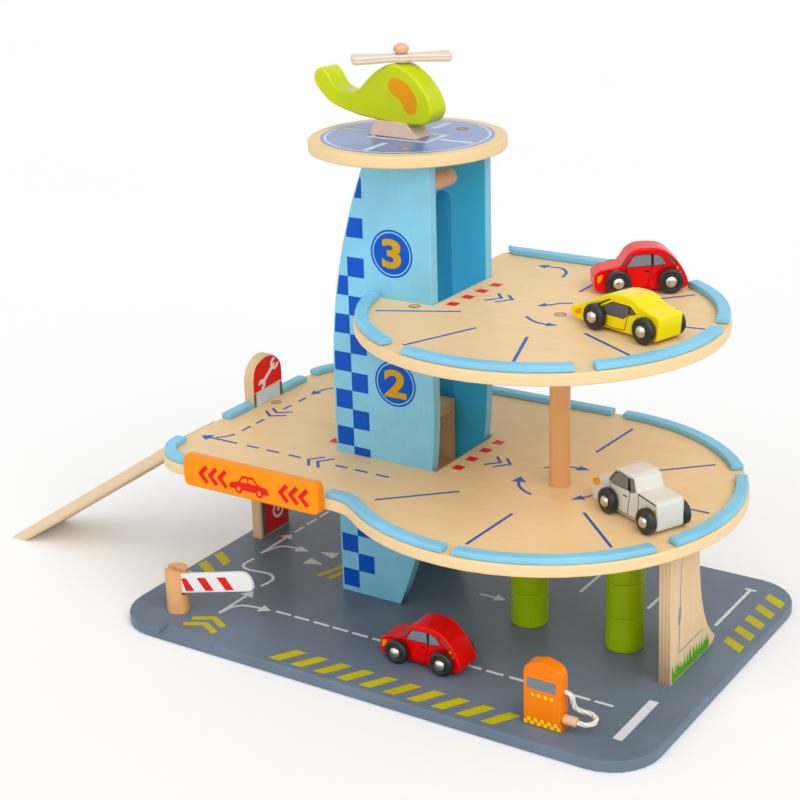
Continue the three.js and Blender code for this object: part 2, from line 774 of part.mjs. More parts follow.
function makePump() {
  const crownZ = baseTop + pumpHeight;
  const shoulderZ = crownZ - pumpCrown - pumpShoulder;
  const leftShoulder = arc(pumpLeft + pumpShoulder, shoulderZ, pumpShoulder, 90, 180);
  const rightShoulder = arc(pumpRight - pumpShoulder, shoulderZ, pumpShoulder, 0, 90);
  const outline = [
    at(pumpLeft, baseTop),
    at(pumpRight, baseTop),
    ...rightShoulder,
    at((pumpLeft + pumpRight) / 2, crownZ),
    ...leftShoulder,
  ];
  const socket = rod(
    nozzleTip / 2 + fitGap, -nozzleSocketDepth - fitGap, overrun, segmentsOf(nozzleDiameter / 2),
  ).rotateY(Math.PI / 2);
  socket.translate(pumpRight, nozzleY, nozzleZ);
  add('pump_body', cut(wallAlongX(outline, pumpY, pumpDepth, pumpEdge), socket), orangePaint);

  // The nozzle: a short turned handle whose thinner tip sits in the pump's side
  const radius = nozzleDiameter / 2;
  const handleEnd = nozzleLength - nozzleSocketDepth;
  const profile = [
    at(0, -nozzleSocketDepth), at(nozzleTip / 2, -nozzleSocketDepth), at(nozzleTip / 2, fitGap),
    at(radius - thinEdge, fitGap), at(radius, fitGap + thinEdge),
    at(radius, handleEnd - thinEdge), at(radius - thinEdge, handleEnd), at(0, handleEnd),
  ];
  const nozzle = turned(profile, segmentsOf(radius)).rotateY(Math.PI / 2);
  add('pump_nozzle', nozzle.translate(pumpRight, nozzleY, nozzleZ), dowelWood);

  const section = [];
  for (let i = 0; i < hoseSides; i++) {
    const angle = (2 * Math.PI * i) / hoseSides;
    section.push(at(hoseRadius * Math.cos(angle), hoseRadius * Math.sin(angle)));
  }
  const places = hoseRoute.map(
    ([right, behind, up]) => new THREE.Vector3(pumpRight + right, pumpFront + behind, baseTop + up),
  );
  const route = new THREE.CatmullRomCurve3(places, false, 'centripetal');
  add('pump_hose', new THREE.ExtrudeGeometry(new THREE.Shape(section), {
    steps: hoseSteps,
    extrudePath: route,
    bevelEnabled: false,
  }), cottonRope);
}

function makeLift() {
  const outerFront = shaftFrontY + cabinSideGap;
  const outerBack = shaftBackY - cabinSideGap;
  const innerFront = outerFront + cabinWall;
  const innerBack = outerBack - cabinWall;
  const floorUnder = cabinFloorTop - boardThickness;
  const roofTop = cabinRoofUnder + boardThickness;
  const peg = (from, to) => {
    const lying = rod(pegDiameter / 2, from, to, segmentsOf(pegDiameter / 2)).rotateX(-Math.PI / 2);
    return lying.translate(pegX, 0, pegZ);
  };
  add('lift_floor', box(cabinBack, cabinFront, innerFront, innerBack, floorUnder, cabinFloorTop), plyPlain);
  add('lift_roof', box(cabinBack, cabinFront, innerFront, innerBack, cabinRoofUnder, roofTop), plyPlain);
  const wallFront = box(cabinBack, cabinFront, outerFront, innerFront, floorUnder, roofTop);
  const wallBack = box(cabinBack, cabinFront, innerBack, outerBack, floorUnder, roofTop);
  const pegReach = grooveDepth - 2 * fitGap;
  add('lift_wall_front', join(wallFront, peg(shaftFrontY - pegReach, innerFront)), plyPlain);
  add('lift_wall_back', join(wallBack, peg(innerBack, shaftBackY + pegReach)), plyPlain);
}

function makeHelicopter() {
  const group = new THREE.Group();
  group.position.set(heliX, heliY, helipadTop + fitGap);
  group.rotation.z = radians(heliTurnDegrees);
  root.add(group);

  const footHalf = heliFootLength / 2;
  const footTopHalf = heliFootTop / 2;
  const foot = wallAlongX([
    at(heliFootAhead - footHalf, 0), at(heliFootAhead + footHalf, 0),
    at(heliFootAhead + footTopHalf, heliFootHeight), at(heliFootAhead - footTopHalf, heliFootHeight),
  ], 0, heliFootWidth, thinEdge);
  add('heli_foot', foot, plyPlain, group);

  const low = heliFootHeight + fitGap;
  const tail = heliNoseAhead - heliLength;
  const points = heliShares.map(([along, up]) => at(tail + heliLength * along, low + heliHeight * up));
  const curve = new THREE.SplineCurve([...points, points[0]]);
  const outline = curve.getPoints(points.length * heliSteps).slice(1);
  const top = low + heliHeight;
  const boreLow = top - rotorPinInBody - fitGap;
  const bore = rod(rotorPinDiameter / 2 + fitGap, boreLow, top + overrun, boreSegments);
  add('heli_body', cut(wallAlongX(outline, 0, heliThickness, heliEdge), bore), limePaint, group);

  // The rotor turns freely on the neck of a knobbed pin pressed into the body
  const rotorLow = top + 2 * fitGap;
  const neckTop = rotorLow + rotorThickness + fitGap;
  const pinRadius = rotorPinDiameter / 2;
  const pin = turned([
    at(0, top - rotorPinInBody),
    at(pinRadius, top - rotorPinInBody),
    at(pinRadius, neckTop),
    ...knobShares.map(([out, up]) => at((out * rotorKnob) / 2, neckTop + up * rotorKnobHeight)),
  ], knobSegments);
  add('heli_rotor_pin', pin, dowelWood, group);

  const hubRadius = rotorHub / 2;
  const reach = rotorLength / 2;
  const tipHalf = rotorTip / 2;
  const waistHalf = rotorWaist / 2;
  const corner = rotorTipCorner;
  const hubDegrees = THREE.MathUtils.radToDeg(Math.asin(waistHalf / hubRadius));
  const blade = [
    ...arc(reach - corner, corner - tipHalf, corner, 270, 360),
    ...arc(reach - corner, tipHalf - corner, corner, 0, 90),
    ...arc(0, 0, hubRadius, hubDegrees, 180 - hubDegrees),
  ];
  const both = [...blade, ...blade.map((point) => at(-point.x, -point.y))];
  const rotorPlate = board(both, rotorLow, rotorThickness, rotorEdge);
  const rotorBore = rod(pinRadius + fitGap, rotorLow - overrun, neckTop + overrun, boreSegments);
  const rotor = new THREE.Group();
  rotor.rotation.z = radians(rotorTurnDegrees - heliTurnDegrees);
  group.add(rotor);
  add('heli_rotor', cut(rotorPlate, rotorBore), plyPlain, rotor);
}

// Two wheels pressed on their axle, each with a domed cap outside, turned in one about the Y axis
function wheelset() {
  const inside = carWidth / 2 + wheelSideGap;
  const outside = inside + wheelThickness;
  const half = [
    at(axleDiameter / 2, inside), at(wheelRadius - wheelShoulder, inside),
    at(wheelRadius, inside + wheelShoulder), at(wheelRadius, outside - wheelShoulder),
    at(wheelRadius - wheelShoulder, outside), at(capDiameter / 2, outside),
    at((capDiameter / 2) * capDomeShare, outside + capHeight * capDomeShare), at(0, outside + capHeight),
  ];
  const mirrored = half.map((point) => at(point.x, -point.y)).reverse();
  return new THREE.LatheGeometry([...mirrored, ...half], wheelSegments);
}

// Where the cars stand, each by the point midway between its axles
const lowCarAfterColumn = 32;
const lowCarFromFront = 60.6;
const highCarFromEdge = 40.12;
const highCarDegrees = 66.49;
const yellowCarFromEdge = 54.46;
const yellowCarDegrees = -8.39;
const pickupCarFromEdge = 49.83;
const pickupCarDegrees = -17.28;

// The four cars: place, level, heading of the nose and side form
const lowPlace = at(columnLeftX - lowCarAfterColumn, lowCarFromFront - baseDepth / 2);
const [highPlace] = arc(
  topCentreX, topCentreY, topRadius - highCarFromEdge, highCarDegrees, highCarDegrees,
);
const [yellowPlace] = arc(
  topCentreX, topCentreY, topRadius - yellowCarFromEdge, yellowCarDegrees, yellowCarDegrees,
);
const [pickupPlace] = arc(
  midCentreX, midCentreY, midRadius - pickupCarFromEdge, pickupCarDegrees, pickupCarDegrees,
);
const cars = [
  { name: 'red_car_low', place: lowPlace, level: baseTop, heading: 180, form: 'beetle', look: redPaint },
  { name: 'red_car_high', place: highPlace, level: topTop, heading: 214.5, form: 'beetle', look: redPaint },
  { name: 'yellow_car', place: yellowPlace, level: topTop, heading: 162, form: 'coupe', look: yellowPaint },
  { name: 'pickup_car', place: pickupPlace, level: midTop, heading: 153, form: 'pickup', look: creamPaint },
];

function makeCar(car) {
  const form = carForms[car.form];
  const group = new THREE.Group();
  group.position.set(car.place.x, car.place.y, car.level + fitGap);
  group.rotation.z = radians(car.heading);
  root.add(group);

  const nose = form.wheelbase / 2 + form.noseAhead;
  const tall = form.height - carUnderside;
  const outline = form.outlineShares.map(
    ([along, up]) => at(nose - form.length * along, carUnderside + tall * up),
  );
  const places = { front: form.wheelbase / 2, rear: -form.wheelbase / 2 };
  const bores = Object.values(places).map((x) => {
    const bore = rod(axleDiameter / 2 + fitGap, -carWidth, carWidth, boreSegments).rotateX(Math.PI / 2);
    return bore.translate(x, 0, wheelRadius);
  });
  add(`${car.name}_body`, cut(wallAlongX(outline, 0, carWidth, carEdge), ...bores), car.look, group);

  for (const [end, x] of Object.entries(places)) {
    const mesh = add(`${car.name}_${end}_wheels`, wheelset(), blackPlastic, group);
    mesh.position.set(x, 0, wheelRadius);
  }
}

makeBase();
makeTower();
makeMiddleDeck();
makeTopDeck();
makeHelipad();
makeMiddleRails();
makeTopRails();
makeRightLeg();
makeSignLeg();
makeEntrySign();
makeColumn('column_left', columnLeftX);
makeColumn('column_right', columnRightX);
makeBlocks();
makeScrews();
makeRamp();
makeBarrier();
makePump();
makeLift();
makeHelicopter();
cars.forEach(makeCar);

export default root;
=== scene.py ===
import bmesh
import bpy
import json
import math
from mathutils import Matrix, Vector

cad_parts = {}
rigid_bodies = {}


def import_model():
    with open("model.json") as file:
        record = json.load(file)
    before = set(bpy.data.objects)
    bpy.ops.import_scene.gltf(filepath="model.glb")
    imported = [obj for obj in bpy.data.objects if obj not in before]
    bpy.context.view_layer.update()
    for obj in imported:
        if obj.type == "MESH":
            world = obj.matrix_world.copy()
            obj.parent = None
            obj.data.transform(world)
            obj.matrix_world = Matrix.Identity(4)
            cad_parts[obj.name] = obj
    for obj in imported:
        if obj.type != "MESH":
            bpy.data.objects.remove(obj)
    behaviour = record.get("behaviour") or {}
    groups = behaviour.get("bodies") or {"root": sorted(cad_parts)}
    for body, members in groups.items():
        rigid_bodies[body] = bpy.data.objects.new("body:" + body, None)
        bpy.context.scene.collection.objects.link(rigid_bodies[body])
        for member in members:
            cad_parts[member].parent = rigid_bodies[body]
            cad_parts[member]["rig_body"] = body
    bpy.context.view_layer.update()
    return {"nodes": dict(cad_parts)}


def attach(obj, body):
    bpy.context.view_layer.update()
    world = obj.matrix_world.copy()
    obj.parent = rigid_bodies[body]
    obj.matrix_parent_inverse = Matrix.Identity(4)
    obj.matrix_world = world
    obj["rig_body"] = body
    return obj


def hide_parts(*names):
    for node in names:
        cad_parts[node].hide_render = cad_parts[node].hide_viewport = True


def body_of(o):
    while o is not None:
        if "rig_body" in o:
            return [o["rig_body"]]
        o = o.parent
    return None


# A wooden toy garage. Sizes in this file are in millimetres and become metres where a mesh is made.
for leftover in list(bpy.data.objects):
    bpy.data.objects.remove(leftover)
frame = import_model()
print("frame loaded")

mm = 0.001
levels = {"base": 9.0, "middle": 127.4, "top": 256.5, "helipad": 367.7}
towerFaces = {"front": -26.4, "back": 60.3}


def makeObject(name, data):
    made = bpy.data.objects.new(name, data)
    bpy.context.scene.collection.objects.link(made)
    return made


# Camera at the photograph's viewing angle

cameraPlace = {
    "place": (636.434, -1040.182, 622.323), "turn": 33.3978, "down": 20.0555, "roll": 1.6863, "lens": 78.35,
    "sensor": 36.0, "farEnd": 50.0,
}


def makeCamera():
    turn, down, roll = (math.radians(cameraPlace[key]) for key in ("turn", "down", "roll"))
    ahead = Vector((-math.sin(turn) * math.cos(down), math.cos(turn) * math.cos(down), -math.sin(down)))
    level = Vector((math.cos(turn), math.sin(turn), 0.0))
    upright = level.cross(ahead)
    right = level * math.cos(roll) - upright * math.sin(roll)
    up = upright * math.cos(roll) + level * math.sin(roll)
    camera = makeObject("camera", bpy.data.cameras.new("camera"))
    camera.data.lens = cameraPlace["lens"]
    camera.data.sensor_width = cameraPlace["sensor"]
    camera.data.clip_end = cameraPlace["farEnd"]
    camera.matrix_world = Matrix.Translation(Vector(cameraPlace["place"]) * mm) @ Matrix(
        (right, up, -ahead)).transposed().to_4x4()
    bpy.context.scene.camera = camera


makeCamera()
print("camera placed")


# Finishes

# A screen colour, made lighter or darker by a factor, as the linear colour that a shader takes
def srgb(tone, factor=1.0):
    channels = [min(255, channel * factor) / 255 for channel in tone]
    return tuple(c / 12.92 if c <= 0.04045 else ((c + 0.055) / 1.055) ** 2.4 for c in channels) + (1.0,)


def addNode(tree, kind, inputs=None, **settings):
    node = tree.nodes.new(kind)
    for key, value in settings.items():
        setattr(node, key, value)
    for socket, value in (inputs or {}).items():
        if isinstance(value, bpy.types.NodeSocket):
            tree.links.new(value, node.inputs[socket])
        else:
            node.inputs[socket].default_value = value
    return node


def reckon(tree, operation, *values):
    return addNode(tree, "ShaderNodeMath", dict(enumerate(values)), operation=operation).outputs[0]


def vectorOf(tree, parts):
    return addNode(tree, "ShaderNodeCombineXYZ", parts).outputs[0]


def partsOf(tree, vector):
    return addNode(tree, "ShaderNodeSeparateXYZ", {"Vector": vector}).outputs


def noise(tree, place, scale, detail, roughness, distortion=0.0):
    return addNode(tree, "ShaderNodeTexNoise", {
        "Vector": place, "Scale": scale, "Detail": detail, "Roughness": roughness, "Distortion": distortion,
    }).outputs["Fac"]


def evenNoise(tree, place, size, detail=3.0):
    return noise(tree, place, 1 / (size * mm), detail, 0.55)


# A noise drawn out along one axis, as wood grain is
def grainPattern(tree, place, axis, across, along, detail=4.0):
    scale = [1 / (across * mm)] * 3
    scale[axis] = 1 / (along * mm)
    mapped = addNode(tree, "ShaderNodeMapping", {"Vector": place, "Scale": scale}).outputs["Vector"]
    return noise(tree, mapped, 1.0, detail, 0.6, distortion=0.4)


def spread(tree, value, low, high, fromLow=0.3, fromHigh=0.7):
    return addNode(tree, "ShaderNodeMapRange", {
        "Value": value, "From Min": fromLow, "From Max": fromHigh, "To Min": low, "To Max": high,
    }).outputs["Result"]


def blendTones(tree, factor, first, second):
    return addNode(tree, "ShaderNodeMix", {0: factor, 6: first, 7: second}, data_type="RGBA").outputs[2]


# How far a surface faces sideways from one axis: 1 on a board's edges, 0 on its faces
def edgeMask(tree, normal, axis):
    size = reckon(tree, "ABSOLUTE", partsOf(tree, normal)[axis])
    return spread(tree, size, 1.0, 0.0, fromLow=0.55, fromHigh=0.7)


def startFinish(name, metallic=0.0, coat=0.0, coatRoughness=0.12, shine=0.5):
    finish = bpy.data.materials.new(name)
    finish.use_nodes = True
    tree = finish.node_tree
    shader = tree.nodes["Principled BSDF"]
    shader.inputs["Metallic"].default_value = metallic
    shader.inputs["Coat Weight"].default_value = coat
    shader.inputs["Specular IOR Level"].default_value = shine
    shader.inputs["Coat Roughness"].default_value = coatRoughness
    return finish, tree, shader, addNode(tree, "ShaderNodeTexCoord").outputs


def endFinish(tree, shader, colour, roughness, height, strength, distance):
    bump = addNode(tree, "ShaderNodeBump", {"Height": height, "Strength": strength, "Distance": distance * mm})
    for socket, value in (("Base Color", colour), ("Roughness", roughness), ("Normal", bump.outputs["Normal"])):
        tree.links.new(value, shader.inputs[socket])


# The layers of plywood lie across the ply's axis, which a sloping board first turns about Y by its slope
def woodFinish(name, light, dark, grain=0, roughness=0.5, coat=0.0, ply=None, edgeTone=None, figure=0.5):
    finish, tree, shader, coordinates = startFinish(name, coat=coat, coatRoughness=0.25, shine=0.22)
    place, normal = coordinates["Object"], coordinates["Normal"]
    broad = grainPattern(tree, place, grain, across=7.0, along=190.0)
    pores = grainPattern(tree, place, grain, across=0.55, along=16.0, detail=6.0)
    cloud = evenNoise(tree, place, size=70.0)
    porous = spread(tree, pores, 0.0, 0.26, fromLow=0.52, fromHigh=0.78)
    tone = blendTones(tree, spread(tree, broad, 0.0, figure), srgb(light), srgb(dark))
    tone = blendTones(tree, porous, tone, srgb(dark, 0.86))
    tone = blendTones(tree, spread(tree, cloud, 0.0, 0.22), tone, srgb(light, 1.05))
    if ply:
        turned = (0, math.radians(ply.get("slope", 0)), 0)
        layered, facing = (
            addNode(tree, "ShaderNodeMapping", {"Vector": vector, "Rotation": turned}).outputs["Vector"]
            for vector in (place, normal)
        )
        turns = reckon(tree, "MULTIPLY", partsOf(tree, layered)[ply["axis"]], math.pi / (ply["pitch"] * mm))
        band = spread(tree, reckon(tree, "SINE", turns), 0.0, 0.85, fromLow=-0.35, fromHigh=0.35)
        layers = blendTones(tree, band, srgb(light), srgb(ply["tone"]))
        tone = blendTones(tree, edgeMask(tree, facing, ply["axis"]), tone, layers)
    if edgeTone:
        axis, colour = edgeTone
        tone = blendTones(tree, edgeMask(tree, normal, axis), tone, srgb(colour))
    endFinish(tree, shader, tone, spread(tree, pores, roughness - 0.05, roughness + 0.09), pores, 0.25, 0.12)
    return finish


def paintFinish(name, tone, roughness=0.4, coat=0.04, grain=None, shift=0.05, peel=0.12, innerTintAndShade=None, shine=0.16):
    finish, tree, shader, coordinates = startFinish(name, coat=coat, shine=shine)
    place, normal = coordinates["Object"], coordinates["Normal"]
    cloud = evenNoise(tree, place, size=45.0)
    height = evenNoise(tree, place, size=1.6, detail=2.0)
    colour = blendTones(tree, spread(tree, cloud, 0.0, 1.0), srgb(tone, 1 - shift), srgb(tone, 1 + shift / 2))
    if grain is not None:
        veins = grainPattern(tree, place, grain, across=0.8, along=26.0, detail=5.0)
        veined = spread(tree, veins, 0.0, 0.3, fromLow=0.5, fromHigh=0.8)
        colour = blendTones(tree, veined, colour, srgb(tone, 0.88))
        height = reckon(tree, "ADD", height, veins)
    # The faces that look into the tower's shaft get a deeper teal: partly a deeper paint, partly painted shade of the
    # shaft
    if innerTintAndShade:
        side, innerTintAndShadeTone = innerTintAndShade
        facing = spread(tree, partsOf(tree, normal)[1], 0.0, 1.0, fromLow=0.5 * side, fromHigh=0.8 * side)
        colour = blendTones(tree, facing, colour, srgb(innerTintAndShadeTone))
    endFinish(tree, shader, colour, spread(tree, cloud, roughness - 0.04, roughness + 0.05), height, peel, 0.06)
    return finish


def metalFinish(name, tone, roughness):
    finish, tree, shader, coordinates = startFinish(name, metallic=1.0)
    place = coordinates["Object"]
    scratches = grainPattern(tree, place, 0, across=0.3, along=9.0, detail=5.0)
    stain = evenNoise(tree, place, size=3.0)
    colour = blendTones(tree, spread(tree, stain, 0.0, 1.0), srgb(tone, 0.9), srgb(tone))
    worn = spread(tree, scratches, roughness - 0.06, roughness + 0.12)
    endFinish(tree, shader, colour, worn, scratches, 0.15, 0.03)
    return finish


def tyreFinish(name, tone):
    finish, tree, shader, coordinates = startFinish(name)
    place = coordinates["Object"]
    speckle = evenNoise(tree, place, size=0.7, detail=4.0)
    dust = evenNoise(tree, place, size=9.0)
    colour = blendTones(tree, spread(tree, dust, 0.0, 0.6), srgb(tone), srgb(tone, 1.8))
    endFinish(tree, shader, colour, spread(tree, dust, 0.3, 0.42), speckle, 0.2, 0.05)
    return finish


def ropeFinish(name, light, shade):
    finish, tree, shader, coordinates = startFinish(name)
    place = coordinates["Object"]
    shader.inputs["Sheen Weight"].default_value = 0.3
    fibres = evenNoise(tree, place, size=0.35, detail=5.0)
    # The rope is painted darker towards the bottom of the grooves between its strands: painted shade, by the groove
    # depth that the hose stores
    depth = addNode(tree, "ShaderNodeAttribute", attribute_name="grooveShadeDepth").outputs["Fac"]
    colour = blendTones(tree, depth, srgb(light), srgb(shade))
    colour = blendTones(tree, spread(tree, fibres, 0.0, 0.4), colour, srgb(shade, 1.1))
    endFinish(tree, shader, colour, spread(tree, fibres, 0.75, 0.95), fibres, 0.5, 0.15)
    return finish


liftTones = dict(light=(222, 188, 142), dark=(196, 158, 112), roughness=0.55)
woods = {
    "deckWood": dict(light=(243, 211, 160), dark=(230, 192, 136), roughness=0.42, coat=0.06,
                     edgeTone=(2, (245, 213, 162)), figure=0.4),
    "legPly": dict(light=(234, 204, 164), dark=(212, 178, 138), grain=2, roughness=0.55,
                   ply={"axis": 0, "tone": (220, 184, 138), "pitch": 1.3}),
    "rampPly": dict(light=(232, 206, 170), dark=(210, 180, 142), roughness=0.55,
                    ply={"axis": 2, "tone": (204, 174, 138), "pitch": 24, "slope": 33.02}),
    "liftPly": dict(**liftTones, grain=2, ply={"axis": 1, "tone": (172, 130, 86), "pitch": 1.0}),
    "liftBoardPly": dict(**liftTones, ply={"axis": 2, "tone": (172, 130, 86), "pitch": 1.0}),
    "rotorPly": dict(light=(236, 222, 208), dark=(220, 200, 182),
                     ply={"axis": 2, "tone": (214, 186, 160), "pitch": 1.1}),
    "footWood": dict(light=(238, 208, 188), dark=(216, 182, 156)),
    "dowelWood": dict(light=(236, 180, 122), dark=(216, 152, 98), grain=2, roughness=0.42, coat=0.06),
    "knobWood": dict(light=(234, 190, 150), dark=(212, 162, 120), grain=2, roughness=0.4, coat=0.06),
}
paints = {
    "greyBoard": dict(tone=(109, 124, 142), coat=0.1, grain=0, shift=0.06),
    # The tower panels' faces towards the shaft take a deeper teal: partly paint, partly painted shade
    "towerFront": dict(tone=(138, 208, 238), grain=2, innerTintAndShade=(1, (70, 194, 240))),
    "towerBack": dict(tone=(138, 208, 238), grain=2, innerTintAndShade=(-1, (70, 194, 240))),
    "railBlue": dict(tone=(136, 206, 237), grain=0, peel=0.2),
    "columnGreen": dict(tone=(162, 196, 0), roughness=0.3, coat=0.12, grain=2),
    "limePaint": dict(tone=(203, 217, 0), roughness=0.22, coat=0.2, grain=0, shift=0.03),
    "windowOrange": dict(tone=(238, 158, 0), roughness=0.3),
    "signOrange": dict(tone=(255, 150, 0), roughness=0.32, grain=0, shift=0.03),
    "pumpOrange": dict(tone=(255, 132, 0), roughness=0.32, grain=2, shift=0.03),
    "armWhite": dict(tone=(240, 240, 236), roughness=0.35, grain=0, shift=0.03),
    "carRed": dict(tone=(238, 0, 2), roughness=0.18, coat=0.1, grain=0, shift=0.04, peel=0.05, shine=0.14),
    "carYellow": dict(tone=(255, 230, 0), roughness=0.2, coat=0.14, grain=0, shift=0.03, peel=0.05),
    "carCream": dict(tone=(222, 223, 216), roughness=0.28, grain=0, shift=0.03, peel=0.08),
    "inkBlue": dict(tone=(34, 90, 182), roughness=0.45),
    "inkDeepBlue": dict(tone=(0, 86, 198), roughness=0.42),
    "inkRed": dict(tone=(230, 24, 16), roughness=0.45),
    "inkWhite": dict(tone=(228, 232, 236), roughness=0.5, shift=0.04),
    "inkYellow": dict(tone=(200, 188, 0), roughness=0.5, shift=0.06),
    "inkBrightYellow": dict(tone=(255, 226, 50), roughness=0.45),
    "inkGold": dict(tone=(212, 160, 0), roughness=0.42),
    "inkPadBlue": dict(tone=(102, 130, 194), roughness=0.22, coat=0.24, shift=0.08),
    "inkPale": dict(tone=(206, 224, 234), roughness=0.35),
    "inkGrey": dict(tone=(124, 134, 146), roughness=0.35),
    "inkWarmGrey": dict(tone=(130, 126, 124), roughness=0.35),
    "inkDarkGrey": dict(tone=(98, 98, 104), roughness=0.35),
    "inkBlack": dict(tone=(26, 22, 22), roughness=0.45),
    "inkMaroon": dict(tone=(110, 0, 6)),
    "inkBrown": dict(tone=(70, 62, 48), roughness=0.45),
    "inkAmber": dict(tone=(252, 158, 0), roughness=0.35),
    "grassGreen": dict(tone=(84, 174, 16), roughness=0.5, shift=0.14),
    # A brown for the rings round the screws: painted shade of their countersunk holes
    "burntWood": dict(tone=(172, 122, 70), roughness=0.5, shift=0.1),
}
finishes = {
    "tyreBlack": tyreFinish("tyreBlack", (28, 28, 30)),
    "capSteel": metalFinish("capSteel", (214, 212, 204), 0.2),
    "screwSteel": metalFinish("screwSteel", (226, 218, 204), 0.5),
    "cottonRope": ropeFinish("cottonRope", (248, 245, 238), (200, 190, 172)),
}
for name, look in woods.items():
    finishes[name] = woodFinish(name, **look)
for name, look in paints.items():
    finishes[name] = paintFinish(name, **look)
print("finishes made")


# Making pieces

joining = {"gap": 1e-6, "nodeGap": 2e-6, "flatDegrees": 0.3, "sharpDegrees": 50, "printDegrees": 30}


# The evaluated shape as a plain mesh with no modifier left
def asPlainMesh(piece):
    bpy.context.view_layer.update()
    evaluated = piece.evaluated_get(bpy.context.evaluated_depsgraph_get())
    baked = bpy.data.meshes.new_from_object(evaluated)
    piece.modifiers.clear()
    piece.data = baked
    return piece


def meshOf(name, form):
    bmesh.ops.remove_doubles(form, verts=form.verts, dist=joining["gap"])
    bmesh.ops.recalc_face_normals(form, faces=form.faces)
    mesh = bpy.data.meshes.new(name)
    form.to_mesh(mesh)
    form.free()
    return mesh


# Gives a mesh its name, finish and body, and the smooth shading of a sanded piece
def finishMesh(name, mesh, finish, body, slot=None, replaced=(), sharpDegrees=joining["sharpDegrees"]):
    mesh.polygons.foreach_set("use_smooth", [True] * len(mesh.polygons))
    mesh.set_sharp_from_angle(angle=math.radians(sharpDegrees))
    piece = makeObject(name, mesh)
    piece.modifiers.new("weightedNormals", "WEIGHTED_NORMAL").keep_sharp = True
    piece = asPlainMesh(piece)
    piece.data.materials.clear()
    piece.data.materials.append(finishes[finish])
    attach(piece, body)
    if replaced:
        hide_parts(*replaced)
    return piece


def finishPiece(name, form, *look):
    return finishMesh(name, meshOf(name, form), *look)


# A CAD node's own shape, merged and smoothed, with a finish
def dressNode(node, finish, slot, sharpDegrees=joining["sharpDegrees"]):
    form = bmesh.new()
    form.from_mesh(frame["nodes"][node].data)
    bmesh.ops.remove_doubles(form, verts=form.verts, dist=joining["nodeGap"])
    flat = math.radians(joining["flatDegrees"])
    bmesh.ops.dissolve_limit(form, angle_limit=flat, verts=form.verts, edges=form.edges)
    body = body_of(frame["nodes"][node])[0]
    return finishPiece(node + "_finished", form, finish, body, slot, [node], sharpDegrees)


# A skin from ring to ring, closed by a face at each end
def joinRings(form, rings):
    for first, second in zip(rings, rings[1:]):
        for i in range(len(first)):
            j = (i + 1) % len(first)
            form.faces.new((first[i], first[j], second[j], second[i]))
    form.faces.new(rings[0])
    form.faces.new(list(reversed(rings[-1])))


def prism(form, outline, place, low, high):
    joinRings(form, [[form.verts.new(Vector(place(u, v, h)) * mm) for u, v in outline] for h in (low, high)])


# A turned piece: its profile as (radius, height) pairs, about an axis given by a placing matrix in millimetres
def turn(form, profile, placing, segments=48):
    rings = []
    for radius, height in profile:
        angles = [2 * math.pi * k / segments for k in range(segments if radius else 1)]
        points = [Vector((radius * math.cos(angle), radius * math.sin(angle), height)) for angle in angles]
        rings.append([form.verts.new((placing @ point) * mm) for point in points])
    for first, second in zip(rings, rings[1:]):
        for k in range(segments):
            j = (k + 1) % segments
            corners = (first[k % len(first)], first[j % len(first)], second[j % len(second)], second[k % len(second)])
            unique = list(dict.fromkeys(corners))
            if len(unique) > 2:
                form.faces.new(unique)


rounding = {
    "gentleDegrees": 42, "gentleRadius": 60, "gentleDepth": 0.24, "longestSide": 16, "sideShare": 0.49,
    "stepDegrees": 8, "shortestStep": 0.06,
}


# A closed outline with its corners rounded, sharp ones by the radius and gentle ones as far as their sides
# allow: a gentle corner first moves out a little, so that the curve still passes it
def roundOutline(points, radius, gentleDegrees=rounding["gentleDegrees"]):
    given = [Vector(point) for point in points]
    gentle = math.radians(gentleDegrees)
    corners = []
    for i, here in enumerate(given):
        arriving, leaving = here - given[i - 1], given[(i + 1) % len(given)] - here
        angle = arriving.angle(leaving)
        depth = 0.0
        if angle < gentle:
            side = min(arriving.length, leaving.length, rounding["longestSide"])
            depth = rounding["gentleDepth"] * side * math.sin(angle / 2)
        out = (arriving.normalized() - leaving.normalized()) / max(2 * math.sin(angle / 2), 1e-6)
        corners.append(here + out * depth)
    line = []
    for i, here in enumerate(corners):
        arriving, leaving = here - corners[i - 1], corners[(i + 1) % len(corners)] - here
        angle = arriving.angle(leaving)
        wanted = (rounding["gentleRadius"] if angle < gentle else radius) * math.tan(angle / 2)
        reach = min(rounding["sideShare"] * min(arriving.length, leaving.length), wanted)
        start, end = here - arriving.normalized() * reach, here + leaving.normalized() * reach
        steps = max(2, round(math.degrees(angle) / rounding["stepDegrees"]))
        for k in range(steps + 1):
            t = k / steps
            point = start * (1 - t) ** 2 + here * 2 * t * (1 - t) + end * t ** 2
            if not line or (point - line[-1]).length > rounding["shortestStep"]:
                line.append(point)
    if (line[0] - line[-1]).length < rounding["shortestStep"]:
        line.pop()
    return line


# A sawn shape with sanded rims: towards each face the outline draws in along a quarter circle
def softPrism(form, line, place, low, high, edge, steps=5):
    count = len(line)
    area = sum(line[i - 1].x * line[i].y - line[i].x * line[i - 1].y for i in range(count))
    inward = 1 if area > 0 else -1
    drawn = []
    for i, point in enumerate(line):
        ahead = ((line[(i + 1) % count] - point).normalized() + (point - line[i - 1]).normalized()).normalized()
        drawn.append(Vector((-ahead.y, ahead.x)) * inward)
    angles = [math.pi / 2 * k / steps for k in range(steps + 1)]
    stations = [(low + edge * (1 - math.sin(angle)), edge * (1 - math.cos(angle))) for angle in reversed(angles)]
    stations += [(high - edge * (1 - math.sin(angle)), edge * (1 - math.cos(angle))) for angle in angles]
    joinRings(form, [
        [form.verts.new(Vector(place(*(point + normal * inset), height)) * mm) for point, normal in zip(line, drawn)]
        for height, inset in stations
    ])


